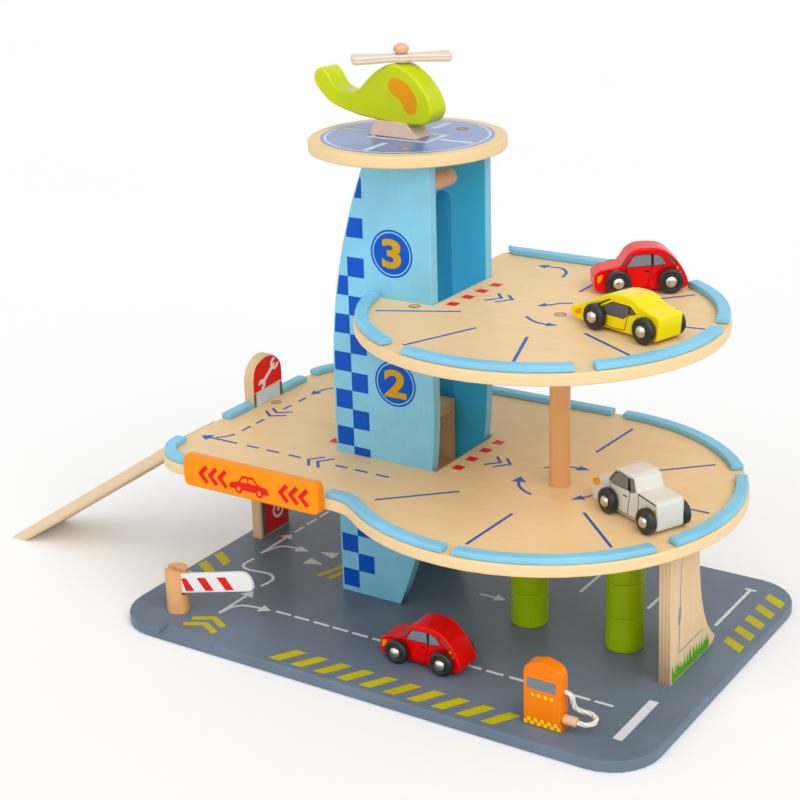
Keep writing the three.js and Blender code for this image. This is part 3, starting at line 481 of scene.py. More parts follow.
def curveThrough(points, steps=6):
    line = []
    last = len(points) - 1
    for i in range(last):
        a, b, c, d = (Vector(points[max(0, min(last, k))]) for k in (i - 1, i, i + 1, i + 2))
        for k in range(steps):
            t = k / steps
            line.append(0.5 * (2 * b + (c - a) * t + (2 * a - 5 * b + 4 * c - d) * t ** 2
                               + (3 * b - a - 3 * c + d) * t ** 3))
    line.append(Vector(points[-1]))
    return line


# The hose: a twisted rope from the pump's side to the nozzle

hose = {
    "diameter": 3.5, "around": 24, "lobes": 3, "lobeDepth": 0.26, "turnLength": 9.0, "steps": 14, "sharpDegrees": 80,
    "route": [
        (160.4, -128.3, 38), (162, -128.3, 37.9), (163.9, -128.1, 37), (165.2, -127.6, 35), (165.5, -126.8, 32.2),
        (165.3, -125.6, 29.3), (165.4, -124.1, 26.3), (166.2, -122.2, 23.6), (168.1, -120, 21.6),
        (171, -118.4, 20.5), (174.4, -117.9, 20), (177.9, -119, 19.7), (180.3, -121.6, 19.3), (181, -125, 18.9),
        (179.6, -128.1, 18.6), (176.7, -129.8, 18.4), (173.6, -130, 18.3), (170.8, -130, 18.3),
    ],
}


def makeHose():
    line = curveThrough(hose["route"], hose["steps"])
    radius = hose["diameter"] / 2
    form = bmesh.new()
    grooveShadeLayer = form.verts.layers.float.new("grooveShadeDepth")
    side = Vector((0, 1, 0))
    travelled = 0.0
    rings = []
    for i, point in enumerate(line):
        ahead = (line[min(i + 1, len(line) - 1)] - line[max(i - 1, 0)]).normalized()
        side = (side - ahead * side.dot(ahead)).normalized()
        other = ahead.cross(side)
        if i:
            travelled += (point - line[i - 1]).length
        ring = []
        for k in range(hose["around"]):
            angle = 2 * math.pi * k / hose["around"]
            lay = angle * hose["lobes"] / 2 - math.pi * travelled / hose["turnLength"]
            groove = 1 - abs(math.cos(lay))
            reach = radius * (1 - hose["lobeDepth"] * groove ** 1.5)
            vertex = form.verts.new((point + (side * math.cos(angle) + other * math.sin(angle)) * reach) * mm)
            # How deep this point lies in a groove, which the rope's finish paints as shade
            vertex[grooveShadeLayer] = groove
            ring.append(vertex)
        rings.append(ring)
    joinRings(form, rings)
    rope = finishPiece("pumpHoseRope", form, "cottonRope", "root", "cotton_rope", ["pump_hose"], hose["sharpDegrees"])
    length = sum((b - a).length for a, b in zip(line, line[1:]))
    return rope, line, length


rope, ropeLine, ropeLength = makeHose()
nozzleDressed = dressNode("pump_nozzle", "knobWood", "dowel_wood")
print("hose laid")


# Boards, legs, rails and dowels keep their shape and get their finish

boardFinishes = [
    ("greyBoard", "wood_grey", ["base_board"]),
    ("deckWood", "wood_pine", ["mid_deck", "top_deck", "helipad", "block_tower", "block_sign_leg"]),
    ("legPly", "plywood", ["right_leg", "sign_leg"]),
    ("rampPly", "plywood", ["ramp"]),
    ("liftPly", "plywood", ["lift_wall_front", "lift_wall_back"]),
    ("liftBoardPly", "plywood", ["lift_floor", "lift_roof"]),
    ("footWood", "plywood", ["heli_foot"]),
    ("rotorPly", "plywood", ["heli_rotor"]),
    ("dowelWood", "dowel_wood", ["barrier_post"]),
    ("towerFront", "blue_paint", ["tower_panel_front"]),
    ("towerBack", "blue_paint", ["tower_panel_back"]),
    ("railBlue", "blue_paint", [name for name in frame["nodes"] if name.startswith("rail_")]),
    ("signOrange", "orange_paint", ["entry_sign"]),
    ("pumpOrange", "orange_paint", ["pump_body"]),
    ("armWhite", "white_paint", ["barrier_arm"]),
    ("screwSteel", "steel", ["barrier_pin"]),
]
crispDegrees = {"greyBoard": 28, "railBlue": 28}
for finish, slot, nodes in boardFinishes:
    for node in nodes:
        dressNode(node, finish, slot, crispDegrees.get(finish, joining["sharpDegrees"]))
print("boards dressed")


# Turned pieces

turnedPieces = {
    "columnRadius": 14.25, "columnLow": 9.0, "columnHigh": 118.4, "columnBlocks": 4, "columnEdge": 1.1,
    "columnSegments": 64, "columns": {"column_left": (62.8, 0.0), "column_right": (142.1, 0.0)},
    "postRadius": 7.5, "post": (89.4, -2.9, 0), "postLow": 127.4, "postHigh": 247.5,
    "stopRadius": 6.5, "stop": (-24.0, -22.4, 336.0), "stopLength": 61.4, "stopRounding": 3.25, "stopSegments": 40,
}


# A quarter circle at the outer rim of a turned piece, towards its upper or its lower end
def roundedCorner(radius, height, edge, upwards=True, steps=5):
    pairs = []
    for k in range(steps + 1):
        angle = math.pi / 2 * k / steps
        offset = edge * (math.sin(angle) - 1)
        pairs.append((radius - edge + edge * math.cos(angle), height + (offset if upwards else -offset)))
    return pairs if upwards else pairs[::-1]


# A cap over a turned piece's axis, from an angle below or above its widest ring up to its top
def dome(radius, base, height, fromDegrees, steps):
    start = math.radians(fromDegrees)
    angles = [start + (math.pi / 2 - start) * k / steps for k in range(steps)]
    return [(radius * math.cos(angle), base + height * math.sin(angle)) for angle in angles] + [(0, base + height)]


def makeTurnedPieces():
    look = turnedPieces
    bottom, top = look["columnLow"], look["columnHigh"]
    blockHeight = (top - bottom) / look["columnBlocks"]
    blocks = []
    for i in range(look["columnBlocks"]):
        low = bottom + i * blockHeight
        blocks += roundedCorner(look["columnRadius"], low, look["columnEdge"], False)
        blocks += roundedCorner(look["columnRadius"], low + blockHeight, look["columnEdge"])
    for node, (x, y) in look["columns"].items():
        form = bmesh.new()
        turn(form, [(0, bottom), *blocks, (0, top)], Matrix.Translation((x, y, 0)), look["columnSegments"])
        finishPiece(node + "_turned", form, "columnGreen", "root", "green_paint", [node])

    form = bmesh.new()
    radius, low, high = (look[key] for key in ("postRadius", "postLow", "postHigh"))
    turn(form, [(0, low), (radius, low), (radius, high), (0, high)], Matrix.Translation(look["post"]))
    finishPiece("deckPostTurned", form, "dowelWood", "root", "dowel_wood", ["deck_post"])

    form = bmesh.new()
    lying = Matrix.Translation(look["stop"]) @ Matrix.Rotation(-math.pi / 2, 4, "X")
    radius, length = look["stopRadius"], look["stopLength"]
    tip = roundedCorner(radius, length, look["stopRounding"])
    turn(form, [(0, 0), (radius, 0), *tip, (0, length)], lying, look["stopSegments"])
    finishPiece("liftStopTurned", form, "knobWood", "root", "dowel_wood", ["lift_stop_dowel"])


makeTurnedPieces()
print("dowels turned")


# Screws by geometry nodes: a slotted head set on each point

screwHeads = {
    "radius": 3.2, "height": 1.2, "slotWidth": 0.9, "seed": 7, "topShare": 0.8, "slotShare": 1.15, "sides": 32,
    "rimRadius": 3.85, "rimWidth": 1.0, "rimParts": 12, "rimProud": 2.4,
    "places": [
        (-23.8, -21.9, 367.3), (-23.8, 55.8, 367.3), (-12.1, -33.9, 256.1), (89.4, -2.9, 256.1),
        (-197.5, 37.5, 127.0), (194.4, -18.5, 127.75),
    ],
    "nodes": ["screw_helipad_front", "screw_helipad_back", "screw_top_deck_tower", "screw_top_deck_post",
              "screw_mid_deck_sign_leg"],
}


# A new tree with the given inputs, also with a geometry, a seed and a finish, and its inputs' sockets
def startTree(name, titles):
    tree = bpy.data.node_groups.new(name, "GeometryNodeTree")
    kinds = {"Geometry": "Geometry", **titles, "Seed": "Int", "Finish": "Material"}
    for title, kind in kinds.items():
        tree.interface.new_socket(title, in_out="INPUT", socket_type="NodeSocket" + kind)
    tree.interface.new_socket("Geometry", in_out="OUTPUT", socket_type="NodeSocketGeometry")
    return tree, addNode(tree, "NodeGroupInput").outputs


# Sets a shape on each point, gives it the finish and ends the tree
def endTree(tree, given, points, shape, placed):
    spots = addNode(tree, "GeometryNodeInstanceOnPoints", {"Points": points, "Instance": shape, **placed})
    real = addNode(tree, "GeometryNodeRealizeInstances", {"Geometry": spots.outputs["Instances"]})
    done = addNode(tree, "GeometryNodeSetMaterial", {"Geometry": real.outputs[0], "Material": given["Finish"]})
    addNode(tree, "NodeGroupOutput", {"Geometry": done.outputs[0]})
    return tree


def runTree(piece, tree, values):
    modifier = piece.modifiers.new("shape", "NODES")
    modifier.node_group = tree
    for item in tree.interface.items_tree:
        if item.in_out == "INPUT" and item.name in values:
            modifier[item.identifier] = values[item.name]
    asPlainMesh(piece)


def randomValue(tree, seed, low, high):
    given = {"Seed": seed, 2: low, 3: high}
    return addNode(tree, "FunctionNodeRandomValue", given, data_type="FLOAT").outputs[1]


def makeScrewTree():
    tree, given = startTree("screwHeads", {"Head Radius": "Float", "Head Height": "Float", "Slot Width": "Float"})
    radius, height, width = (given[title] for title in ("Head Radius", "Head Height", "Slot Width"))
    head = addNode(tree, "GeometryNodeMeshCone", {
        "Vertices": screwHeads["sides"], "Radius Bottom": radius,
        "Radius Top": reckon(tree, "MULTIPLY", radius, screwHeads["topShare"]), "Depth": height,
    })
    length = reckon(tree, "MULTIPLY", radius, screwHeads["slotShare"])
    slotted = addNode(tree, "GeometryNodeMeshBoolean", {"Mesh 1": head.outputs["Mesh"]}, operation="DIFFERENCE")
    for sides in ((length, width), (width, length)):
        bar = addNode(tree, "GeometryNodeMeshCube", {"Size": vectorOf(tree, {0: sides[0], 1: sides[1], 2: height})})
        raised = addNode(tree, "GeometryNodeTransform", {
            "Geometry": bar.outputs["Mesh"], "Translation": vectorOf(tree, {2: height}),
        })
        tree.links.new(raised.outputs[0], slotted.inputs["Mesh 2"])
    spin = randomValue(tree, given["Seed"], 0.0, 1.0)
    rotation = vectorOf(tree, {2: reckon(tree, "MULTIPLY", spin, math.pi)})
    return endTree(tree, given, given["Geometry"], slotted.outputs["Mesh"], {"Rotation": rotation})


def makeScrews():
    look = screwHeads
    mesh = bpy.data.meshes.new("screwPoints")
    mesh.from_pydata([(x * mm, y * mm, (z - look["height"]) * mm) for x, y, z in look["places"]], [], [])
    piece = makeObject("screwHeads", mesh)
    runTree(piece, makeScrewTree(), {
        "Head Radius": look["radius"] * mm, "Head Height": look["height"] * mm, "Slot Width": look["slotWidth"] * mm,
        "Seed": look["seed"], "Finish": finishes["screwSteel"],
    })
    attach(piece, "root")
    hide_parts(*look["nodes"])


makeScrews()
print("screws driven")


# Printed marks: thin closed shapes that stand a little proud of the painted wood

ink = {"proud": 0.12, "sunk": 0.15, "stepShare": 0.03, "steps": 7}


def onTop(level):
    return lambda u, v, h: (u, v, level + h)


def facingFront(level):
    return lambda u, v, h: (u, level - h, v)


def facingBack(level):
    return lambda u, v, h: (u, level + h, v)


def facingRight(level):
    return lambda u, v, h: (level + h, u, v)


# The shapes of one print differ a little in height, so that crossing ones never share a face
def printMarks(name, shapes, place, finish, body="root", slot=None, proud=1.0):
    form = bmesh.new()
    for i, shape in enumerate(shapes):
        prism(form, shape, place, -ink["sunk"], ink["proud"] * (proud + ink["stepShare"] * (i % ink["steps"])))
    return finishPiece(name, form, finish, body, slot, (), joining["printDegrees"])


# A line of one width as a closed outline
def stroke(points, width, rounded=False):
    line = [Vector(point) for point in points]
    left, right = [], []
    for i, point in enumerate(line):
        before = (point - line[i - 1]).normalized() if i else None
        after = (line[i + 1] - point).normalized() if i < len(line) - 1 else None
        ahead = ((before or after) + (after or before)).normalized()
        across = Vector((-ahead.y, ahead.x))
        reach = width / 2 / max(0.5, ahead.dot(after or before))
        left.append(point + across * reach)
        right.append(point - across * reach)
    if not rounded:
        return left + right[::-1]
    end, start = (halfCircle(here, here - near, width) for here, near in ((line[-1], line[-2]), (line[0], line[1])))
    return left + end + right[::-1] + start


def halfCircle(middle, ahead, width, steps=6):
    start = math.atan2(ahead.y, ahead.x) + math.pi / 2
    turns = [start - math.pi * k / steps for k in range(1, steps)]
    return [middle + Vector((math.cos(angle), math.sin(angle))) * width / 2 for angle in turns]


# A line round a closed shape, in one short piece for each side that has any length
def closedStroke(points, width, shortest=0.05):
    sides = zip(points, list(points[1:]) + [points[0]])
    return [stroke(side, width) for side in sides if (Vector(side[0]) - Vector(side[1])).length > shortest]


def arcPoints(x, y, radius, fromDegrees, toDegrees, steps=16):
    angles = [math.radians(fromDegrees + (toDegrees - fromDegrees) * k / steps) for k in range(steps + 1)]
    return [(x + radius * math.cos(angle), y + radius * math.sin(angle)) for angle in angles]


def disc(x, y, radius, steps=64):
    return arcPoints(x, y, radius, 0, 360, steps)[:-1]


def ringShapes(x, y, radius, width, parts=24):
    share = 360 / parts
    return [stroke(arcPoints(x, y, radius, share * k, share * (k + 1), 3), width) for k in range(parts)]


def rectangle(left, low, right, high):
    return [(left, low), (right, low), (right, high), (left, high)]


def squares(middles, side):
    half = side / 2
    return [rectangle(x - half, y - half, x + half, y + half) for x, y in middles]


def shifted(points, right, up):
    return [(x + right, y + up) for x, y in points]


# Straight lines, all at one x or all at one y, from their first to their second value along the other axis
def dashes(spans, width, x=None, y=None, rounded=False):
    ends = [[(x, first), (x, last)] if y is None else [(first, y), (last, y)] for first, last in spans]
    return [stroke(points, width, rounded) for points in ends]


# Arrows: each a bent line that ends in the middle of a head given by its tip and two base corners
def arrowShapes(arrows, width, rounded=False):
    shapes = []
    for points, tip, base in arrows:
        middle = (Vector(base[0]) + Vector(base[1])) / 2
        shapes += [stroke(curveThrough([*points, middle], 4), width, rounded), [tip, *base]]
    return shapes


topMarks = {
    "lineWidth": 2.3, "arcCentre": (74.8, -4.2), "bayInner": 57, "bayOuter": 118, "squareSide": 8,
    "bayDegrees": [-154, -113, -71, -30.5, 8.5, 48.6, 89],
    "chevrons": [[(24.7, 2.3), (33, 12.8), (25.2, 21.8)], [(33.6, 1.6), (41.9, 13.1), (33.9, 21.6)]],
    "squares": [(9.3, -16.1), (10, 3.9), (11.3, 21.8), (12.7, 40.2)],
    "arrows": [
        ([(46.5, 81.1), (44, 92.5), (37.6, 100.6), (32.1, 103)], (15.1, 101.1), [(22.4, 106.4), (23.2, 96.3)]),
        ([(84.8, 25), (77.5, 21.1), (71.2, 12.8)], (65.2, 7), [(66.6, 16.8), (71.8, 10.4)]),
        ([(70.4, -18), (78, -24), (84.8, -26.9)], (99.7, -25.9), [(90.8, -23.7), (92.6, -31.3)]),
    ],
}
middleMarks = {
    "lineWidth": 2.3, "squareSide": 8,
    "lines": [
        [(87.2, 123.4), (84.4, 65.4)], [(131, 46), (172.6, 86.1)], [(148, 1.8), (204.2, 1.7)],
        [(128, -39.8), (170.1, -81.8)], [(85.3, -65.6), (83.1, -125.2)], [(32.6, -49.7), (-12.6, -92.4)],
    ],
    "chevrons": [
        [(22, 3.2), (31.2, 12.5), (22.8, 21.9)], [(30.3, 2.6), (39.1, 13.4), (31, 22.2)],
        [(-91.3, -42.6), (-99.7, -52.4), (-92.3, -62.6)], [(-83.3, -42.4), (-91.2, -52.4), (-83.6, -62.3)],
        [(-171.4, 16.8), (-182.5, 9.1), (-192.4, 17.2)], [(-171.6, 25.5), (-182.3, 18), (-191.4, 24.9)],
    ],
    "arrows": [
        ([(80.2, -29.5), (72.1, -25.7), (64.8, -19.4)], (57.5, -3.6), [(56, -15.1), (66.4, -11.3)]),
        ([(64.5, 19.4), (74, 27.4), (80, 30)], (96.4, 31.6), [(86.8, 35.4), (86.8, 26.3)]),
        ([(119, -9.6), (117.6, -13.5)], (109.4, -24.2), [(112, -13.5), (118.6, -18.3)]),
        ([(-168.6, -52.3), (-180, -52.3)], (-203.8, -52.5), [(-195, -46.5), (-195, -58.5)]),
        ([(-175.4, 89.6), (-179.6, 84)], (-182.6, 66), [(-186.5, 76), (-177.2, 74.5)]),
    ],
    "branch": [(-182.6, -37.3), (-185.3, -44.6), (-190.9, -50.1)],
    "frontDashY": -52.3,
    "frontDashes": [(-159, -147.5), (-139.8, -127.9), (-118.7, -106.9), (-75.1, -64), (-57.1, -45.5), (-38.1, -26.8)],
    "sideDashX": -182,
    "sideDashes": [(-28.5, -17.5), (-10, 0.6), (27.4, 38), (48, 58.5)],
    "squares": [(8.5, -11.1), (8.7, 8.4), (8.9, 28.5), (9.4, 47.4),
                (-103.6, -10.4), (-103.6, 8.9), (-103.6, 28.4), (-103.6, 47.4)],
}


def printDeck(name, level, look, shapes):
    place = onTop(levels[level])
    printMarks(name + "BlueMarks", shapes, place, "inkBlue", slot="blue_paint")
    printMarks(name + "RedSquares", squares(look["squares"], look["squareSide"]), place, "inkRed", slot="red_paint")


def topDeckShapes(look):
    width = look["lineWidth"]
    lines = []
    for degrees in look["bayDegrees"]:
        across = Vector((math.cos(math.radians(degrees)), math.sin(math.radians(degrees))))
        lines.append([Vector(look["arcCentre"]) + across * reach for reach in (look["bayInner"], look["bayOuter"])])
    return [stroke(points, width) for points in lines + look["chevrons"]] + arrowShapes(look["arrows"], width)


def middleDeckShapes(look):
    width = look["lineWidth"]
    shapes = [stroke(points, width) for points in look["lines"] + look["chevrons"]]
    shapes += arrowShapes(look["arrows"], width)
    shapes.append(stroke(curveThrough(look["branch"], 4), width))
    shapes += dashes(look["frontDashes"], width, y=look["frontDashY"])
    return shapes + dashes(look["sideDashes"], width, x=look["sideDashX"])


printDeck("topDeck", "top", topMarks, topDeckShapes(topMarks))
printDeck("middleDeck", "middle", middleMarks, middleDeckShapes(middleMarks))

# Each row of bars is one bar, its step to the right and up, and their count
baseMarks = {
    "lineWidth": 2.6,
    "arrows": [
        ([(-188.8, -4.1), (-189.1, 15)], (-188.5, 38.5), [(-195.3, 30), (-182.8, 29.2)]),
        ([(-188.8, -4.1), (-185.7, 7.6), (-180.3, 15.3)], (-155.7, 17), [(-168.4, 22.9), (-167, 11.7)]),
        ([(-151.3, -107.8), (-151.1, -90)], (-150.8, -65.4), [(-157.2, -74), (-144.8, -74.5)]),
        ([(-150.8, -107.6), (-148.8, -95.9), (-142.3, -89)], (-118.4, -85.7), [(-128.5, -80.4), (-127.7, -91.8)]),
        ([(8.2, 19.6), (15, 19.8)], (30.9, 20), [(20.7, 25.7), (21.8, 14.8)]),
    ],
    "bend": [(-187.7, -17.5), (-188.6, -25.3), (-187.1, -31.8), (-179.4, -35.5), (-168.2, -34.1), (-157.6, -33.8),
             (-150.6, -39.8), (-150.1, -46.4), (-151.1, -54)],
    "leftDashX": -189, "leftDashes": [(43.6, 54.5), (61.8, 73.2), (80.7, 91.8), (99.2, 110.3)],
    "frontDashY": -84.2, "frontDashLength": 12,
    "frontDashes": [-113.4, -96.1, -77.7, -59.9, -41.9, -23.8, -5.7, 12.4, 30, 38, 56.3, 74.5, 93.7, 110, 127, 143.8,
                    161.5],
    "bays": [74, 132, 187.6], "bayFront": 61, "bayBack": 130, "bayBar": 4.5,
    "stopBar": [(196, -122), (196, -64)], "stopBarWidth": 7,
    "liftSigns": [[(-147, -4), (-147, 8), (-131, 2)], [(-131, 15), (-131, 27), (-147, 21)]],
    "bars": [([(-75, -147), (-63.5, -127.3), (-54, -127.3), (-65.5, -147)], (20, 0), 10),
             ([(-221, -27.3), (-220.4, -18), (-201, -30), (-201, -39.7)], (0, -20.6), 3),
             ([(202.6, 121.5), (202.7, 130.7), (219.2, 121.2), (219.5, 110.9)], (0, -20.2), 5)],
    "chevrons": [
        [(-164.2, -125.7), (-149.4, -117.4), (-133.9, -125.4)], [(-122.5, -16.7), (-111.8, 17), (-122.5, 50.7)],
        [(-164.2, -136.5), (-149.4, -128.2), (-133.9, -136.2)], [(-112.5, -16.7), (-101.8, 17), (-112.5, 50.7)],
    ],
    "chevronWidth": 5.2,
}


def printBase():
    look = baseMarks
    width, back, bar = look["lineWidth"], look["bayBack"], look["bayBar"]
    fronts = [(start, start + look["frontDashLength"]) for start in look["frontDashes"]]
    white = arrowShapes(look["arrows"], width, True)
    white.append(stroke(curveThrough(look["bend"], 4), width, True))
    white += dashes(look["leftDashes"], width, x=look["leftDashX"], rounded=True)
    white += dashes(fronts, width, y=look["frontDashY"], rounded=True)
    for x in look["bays"]:
        white += dashes([(look["bayFront"], back)], width, x=x) + dashes([(x - bar, x + bar)], width, y=back)
    white.append(stroke(look["stopBar"], look["stopBarWidth"]))
    white += look["liftSigns"]
    yellow = [shifted(bar, right * k, up * k) for bar, (right, up), count in look["bars"] for k in range(count)]
    yellow += [stroke(points, look["chevronWidth"]) for points in look["chevrons"]]
    place = onTop(levels["base"])
    printMarks("baseWhiteMarks", white, place, "inkWhite", slot="white_paint")
    printMarks("baseYellowMarks", yellow, place, "inkYellow", slot="yellow_paint")


printBase()
print("decks printed")

helipadMarks = {
    "centre": (-47.9, 18), "discRadius": 64, "ringRadius": 60.4, "ringWidth": 1.7, "lineWidth": 4.6, "proud": 1.6,
    "lines": [[(-105, 19), (-82, 19)], [(-17.5, 14.5), (10, 14.5)], [(-47, -40), (-47, -12)], [(-44, 46), (-44, 70)]],
    "frameLow": (-72, 0), "frameHigh": (-20, 31), "frameWidth": 3.8,
    "holes": [(-23.8, -21.9), (-23.8, 55.8)], "holeRadius": 3.6, "holeDepth": 2, "discSteps": 96, "holeSteps": 24,
}


def printHelipad():
    look = helipadMarks
    x, y = look["centre"]
    place = onTop(levels["helipad"])
    form = bmesh.new()
    prism(form, disc(x, y, look["discRadius"], look["discSteps"]), place, -ink["sunk"], ink["proud"])
    cutter = bmesh.new()
    for hole in look["holes"]:
        ring = disc(*hole, look["holeRadius"], look["holeSteps"])
        prism(cutter, ring, place, -look["holeDepth"], look["holeDepth"])
    pad, holes = makeObject("padDisc", meshOf("padDisc", form)), makeObject("padHoles", meshOf("padHoles", cutter))
    drill = pad.modifiers.new("drill", "BOOLEAN")
    drill.operation = "DIFFERENCE"
    drill.object = holes
    drilled = asPlainMesh(pad).data.copy()
    for piece in (pad, holes):
        bpy.data.objects.remove(piece)
    finishMesh("helipadBlueDisc", drilled, "inkPadBlue", "root", "blue_paint", (), joining["printDegrees"])
    left, low = look["frameLow"]
    right, high = look["frameHigh"]
    edge = look["frameWidth"]
    pale = ringShapes(x, y, look["ringRadius"], look["ringWidth"])
    pale += [stroke(line, look["lineWidth"]) for line in look["lines"]]
    pale += [rectangle(left, start, right, start + edge) for start in (low, high - edge)]
    pale += [rectangle(start, low + edge, start + edge, high - edge) for start in (left, right - edge)]
    printMarks("helipadPaleMarks", pale, place, "inkPale", slot="white_paint", proud=look["proud"])


printHelipad()

towerMarks = {
    "cell": 15, "columns": [(-89.6, -74.9), (-74.9, -60.2)], "firstRows": [13.9, 28.9], "lastRows": [255, 330],
    "curveStart": 190.7, "curveHeight": 168, "curveDepth": 34.6, "backX": -91.5, "edgeGap": 1.5, "edgeParts": 4,
    "numbers": {"3": (-35.6, 290.6), "2": (-35.7, 191)}, "ringRadius": 17.2, "ringWidth": 1.4, "discRadius": 15.4,
    "numberHeight": 22, "numberWeight": 0.035, "numberWidening": 1.34, "numberProud": 2.2,
}


def towerBackEdge(z):
    look = towerMarks
    rise = max(0.0, (z - look["curveStart"]) / look["curveHeight"])
    return look["backX"] + look["curveDepth"] * rise * rise + look["edgeGap"]


def makeNumber(name, number, middle, place, finish):
    look = towerMarks
    text = bpy.data.curves.new(name, "FONT")
    text.body = number
    text.align_x = "CENTER"
    text.offset = look["numberWeight"]
    holder = makeObject(name, text)
    bpy.context.view_layer.update()
    flat = bpy.data.meshes.new_from_object(holder.evaluated_get(bpy.context.evaluated_depsgraph_get()))
    bpy.data.objects.remove(holder)
    form = bmesh.new()
    form.from_mesh(flat)
    bmesh.ops.remove_doubles(form, verts=form.verts, dist=1e-4)
    xs, ys = [v.co.x for v in form.verts], [v.co.y for v in form.verts]
    size = look["numberHeight"] / (max(ys) - min(ys))
    centre = ((max(xs) + min(xs)) / 2, (max(ys) + min(ys)) / 2)
    raised = bmesh.ops.extrude_face_region(form, geom=form.faces[:])
    upper = {item for item in raised["geom"] if isinstance(item, bmesh.types.BMVert)}
    for vertex in form.verts:
        u = middle[0] + (vertex.co.x - centre[0]) * size * look["numberWidening"]
        v = middle[1] + (vertex.co.y - centre[1]) * size
        height = ink["proud"] * look["numberProud"] if vertex in upper else -ink["sunk"]
        vertex.co = Vector(place(u, v, height)) * mm
    finishPiece(name, form, finish, "root", "yellow_paint", (), joining["printDegrees"])


def printTower(side, place):
    look = towerMarks
    checks = []
    for (left, right), first, last in zip(look["columns"], look["firstRows"], look["lastRows"]):
        z = first
        while z <= last:
            top = z + look["cell"]
            heights = [z + look["cell"] * k / look["edgeParts"] for k in range(look["edgeParts"] + 1)]
            edge = [(max(left, towerBackEdge(height)), height) for height in reversed(heights)]
            if towerBackEdge(top) < right - 1:
                checks.append([(right, z), (right, top)] + edge)
            z += 2 * look["cell"]
    printMarks(side + "PanelCheckers", checks, place, "inkDeepBlue", slot="blue_paint")
    for number, (x, z) in look["numbers"].items():
        label = side + "Panel" + number
        ring = ringShapes(x, z, look["ringRadius"], look["ringWidth"])
        printMarks(label + "Ring", ring, place, "inkDeepBlue", slot="blue_paint")
        printMarks(label + "Disc", [disc(x, z, look["discRadius"])], place, "inkDeepBlue", slot="blue_paint")
        mirrored = place if side == "front" else lambda u, v, h, middle=x: place(2 * middle - u, v, h)
        makeNumber(label + "Digit", number, (x, z), mirrored, "inkGold")


printTower("front", facingFront(towerFaces["front"]))
printTower("back", facingBack(towerFaces["back"]))
print("tower printed")


# Signs: chevrons and a plain car shape on the entry sign, a tool and a wheel on the arched leg

signMarks = {
    "face": -117.6, "middle": 129, "chevrons": [-152, -143, -134, -78, -69, -60], "chevronHalf": 6.5,
    "chevronDepth": 6, "chevronWidth": 3.6, "carPlace": (-125, 121), "cornerRadius": 1.2, "gentleDegrees": 50,
    "carShape": [(0, 2.5), (0, 6), (3, 7.6), (8, 8.6), (12.5, 13.4), (22, 13.8), (27.5, 9), (33.5, 8), (36, 6),
                 (36, 2.5)],
    "wheels": [(8.5, 3), (27.5, 3)], "wheelRadius": 3.6, "hubRadius": 1.62, "hubProud": 1.8, "wheelSteps": 24,
    "hubSteps": 20,
    "glass": [[(13, 12), (10.4, 9), (17, 9), (17, 12.3)], [(18.4, 12.4), (18.4, 9), (25.4, 9), (21.6, 12.4)]],
}


def printEntrySign():
    look = signMarks
    place = facingFront(look["face"])
    z, half, depth = look["middle"], look["chevronHalf"], look["chevronDepth"]
    chevrons = [[(x + depth, z + half), (x, z), (x + depth, z - half)] for x in look["chevrons"]]
    red = [stroke(points, look["chevronWidth"]) for points in chevrons]
    car = shifted(look["carShape"], *look["carPlace"])
    red.append(roundOutline(car, look["cornerRadius"], look["gentleDegrees"]))
    wheels = shifted(look["wheels"], *look["carPlace"])
    red += [disc(*wheel, look["wheelRadius"], look["wheelSteps"]) for wheel in wheels]
    printMarks("entrySignRedMarks", red, place, "inkRed", slot="red_paint")
    clear = [disc(*wheel, look["hubRadius"], look["hubSteps"]) for wheel in wheels]
    clear += [shifted(glass, *look["carPlace"]) for glass in look["glass"]]
    printMarks("entrySignHubs", clear, place, "signOrange", slot="orange_paint", proud=look["hubProud"])


printEntrySign()

legMarks = {
    "face": -205, "archSteps": 5, "redProud": 1.5, "motifProud": 2.2,
    "arch": [(18.5, 139.7), (19.1, 151.8), (23.4, 162), (37.4, 166.2), (48.6, 163.3), (55.9, 155), (56.4, 141.3)],
    "red": (24.3, 12, 53.8, 117), "pale": (21.5, 127.7, 53.2, 139),
    "grey": [(18.3, 127.7, 21, 139), (53.5, 127.7, 56.7, 139), (20, 10.5, 56, 118)],
    "wheelMiddle": (41.8, 28), "wheelRadius": 6.4, "wheelWidth": 2.6, "hubRadius": 2, "wheelParts": 16,
    "toolFrom": (29.5, 144.5), "toolTo": (47.5, 158), "toolWidth": 3, "jaws": [4.2, 3.36], "jawWidth": 2.4,
    "jawDegrees": [(40, 320), (220, 500)], "jawSteps": 14, "hubSteps": 24,
}


def printSignLeg():
    look = legMarks
    place = facingRight(look["face"])
    red = [curveThrough(look["arch"], look["archSteps"]), rectangle(*look["red"])]
    printMarks("signLegRed", red, place, "inkRed", slot="red_paint", proud=look["redProud"])
    printMarks("signLegPale", [rectangle(*look["pale"])], place, "inkPale", slot="white_paint")
    printMarks("signLegBars", [rectangle(*bar) for bar in look["grey"]], place, "inkDarkGrey")
    start, end = Vector(look["toolFrom"]), Vector(look["toolTo"])
    slope = math.degrees(math.atan2(end.y - start.y, end.x - start.x))
    motifs = [stroke([start, end], look["toolWidth"])]
    for middle, radius, (first, last) in zip((end, start), look["jaws"], look["jawDegrees"]):
        jaw = arcPoints(*middle, radius, slope + first, slope + last, look["jawSteps"])
        motifs.append(stroke(jaw, look["jawWidth"]))
    motifs += ringShapes(*look["wheelMiddle"], look["wheelRadius"], look["wheelWidth"], look["wheelParts"])
    motifs.append(disc(*look["wheelMiddle"], look["hubRadius"], look["hubSteps"]))
    printMarks("signLegMotifs", motifs, place, "inkWhite", slot="white_paint", proud=look["motifProud"])


printSignLeg()

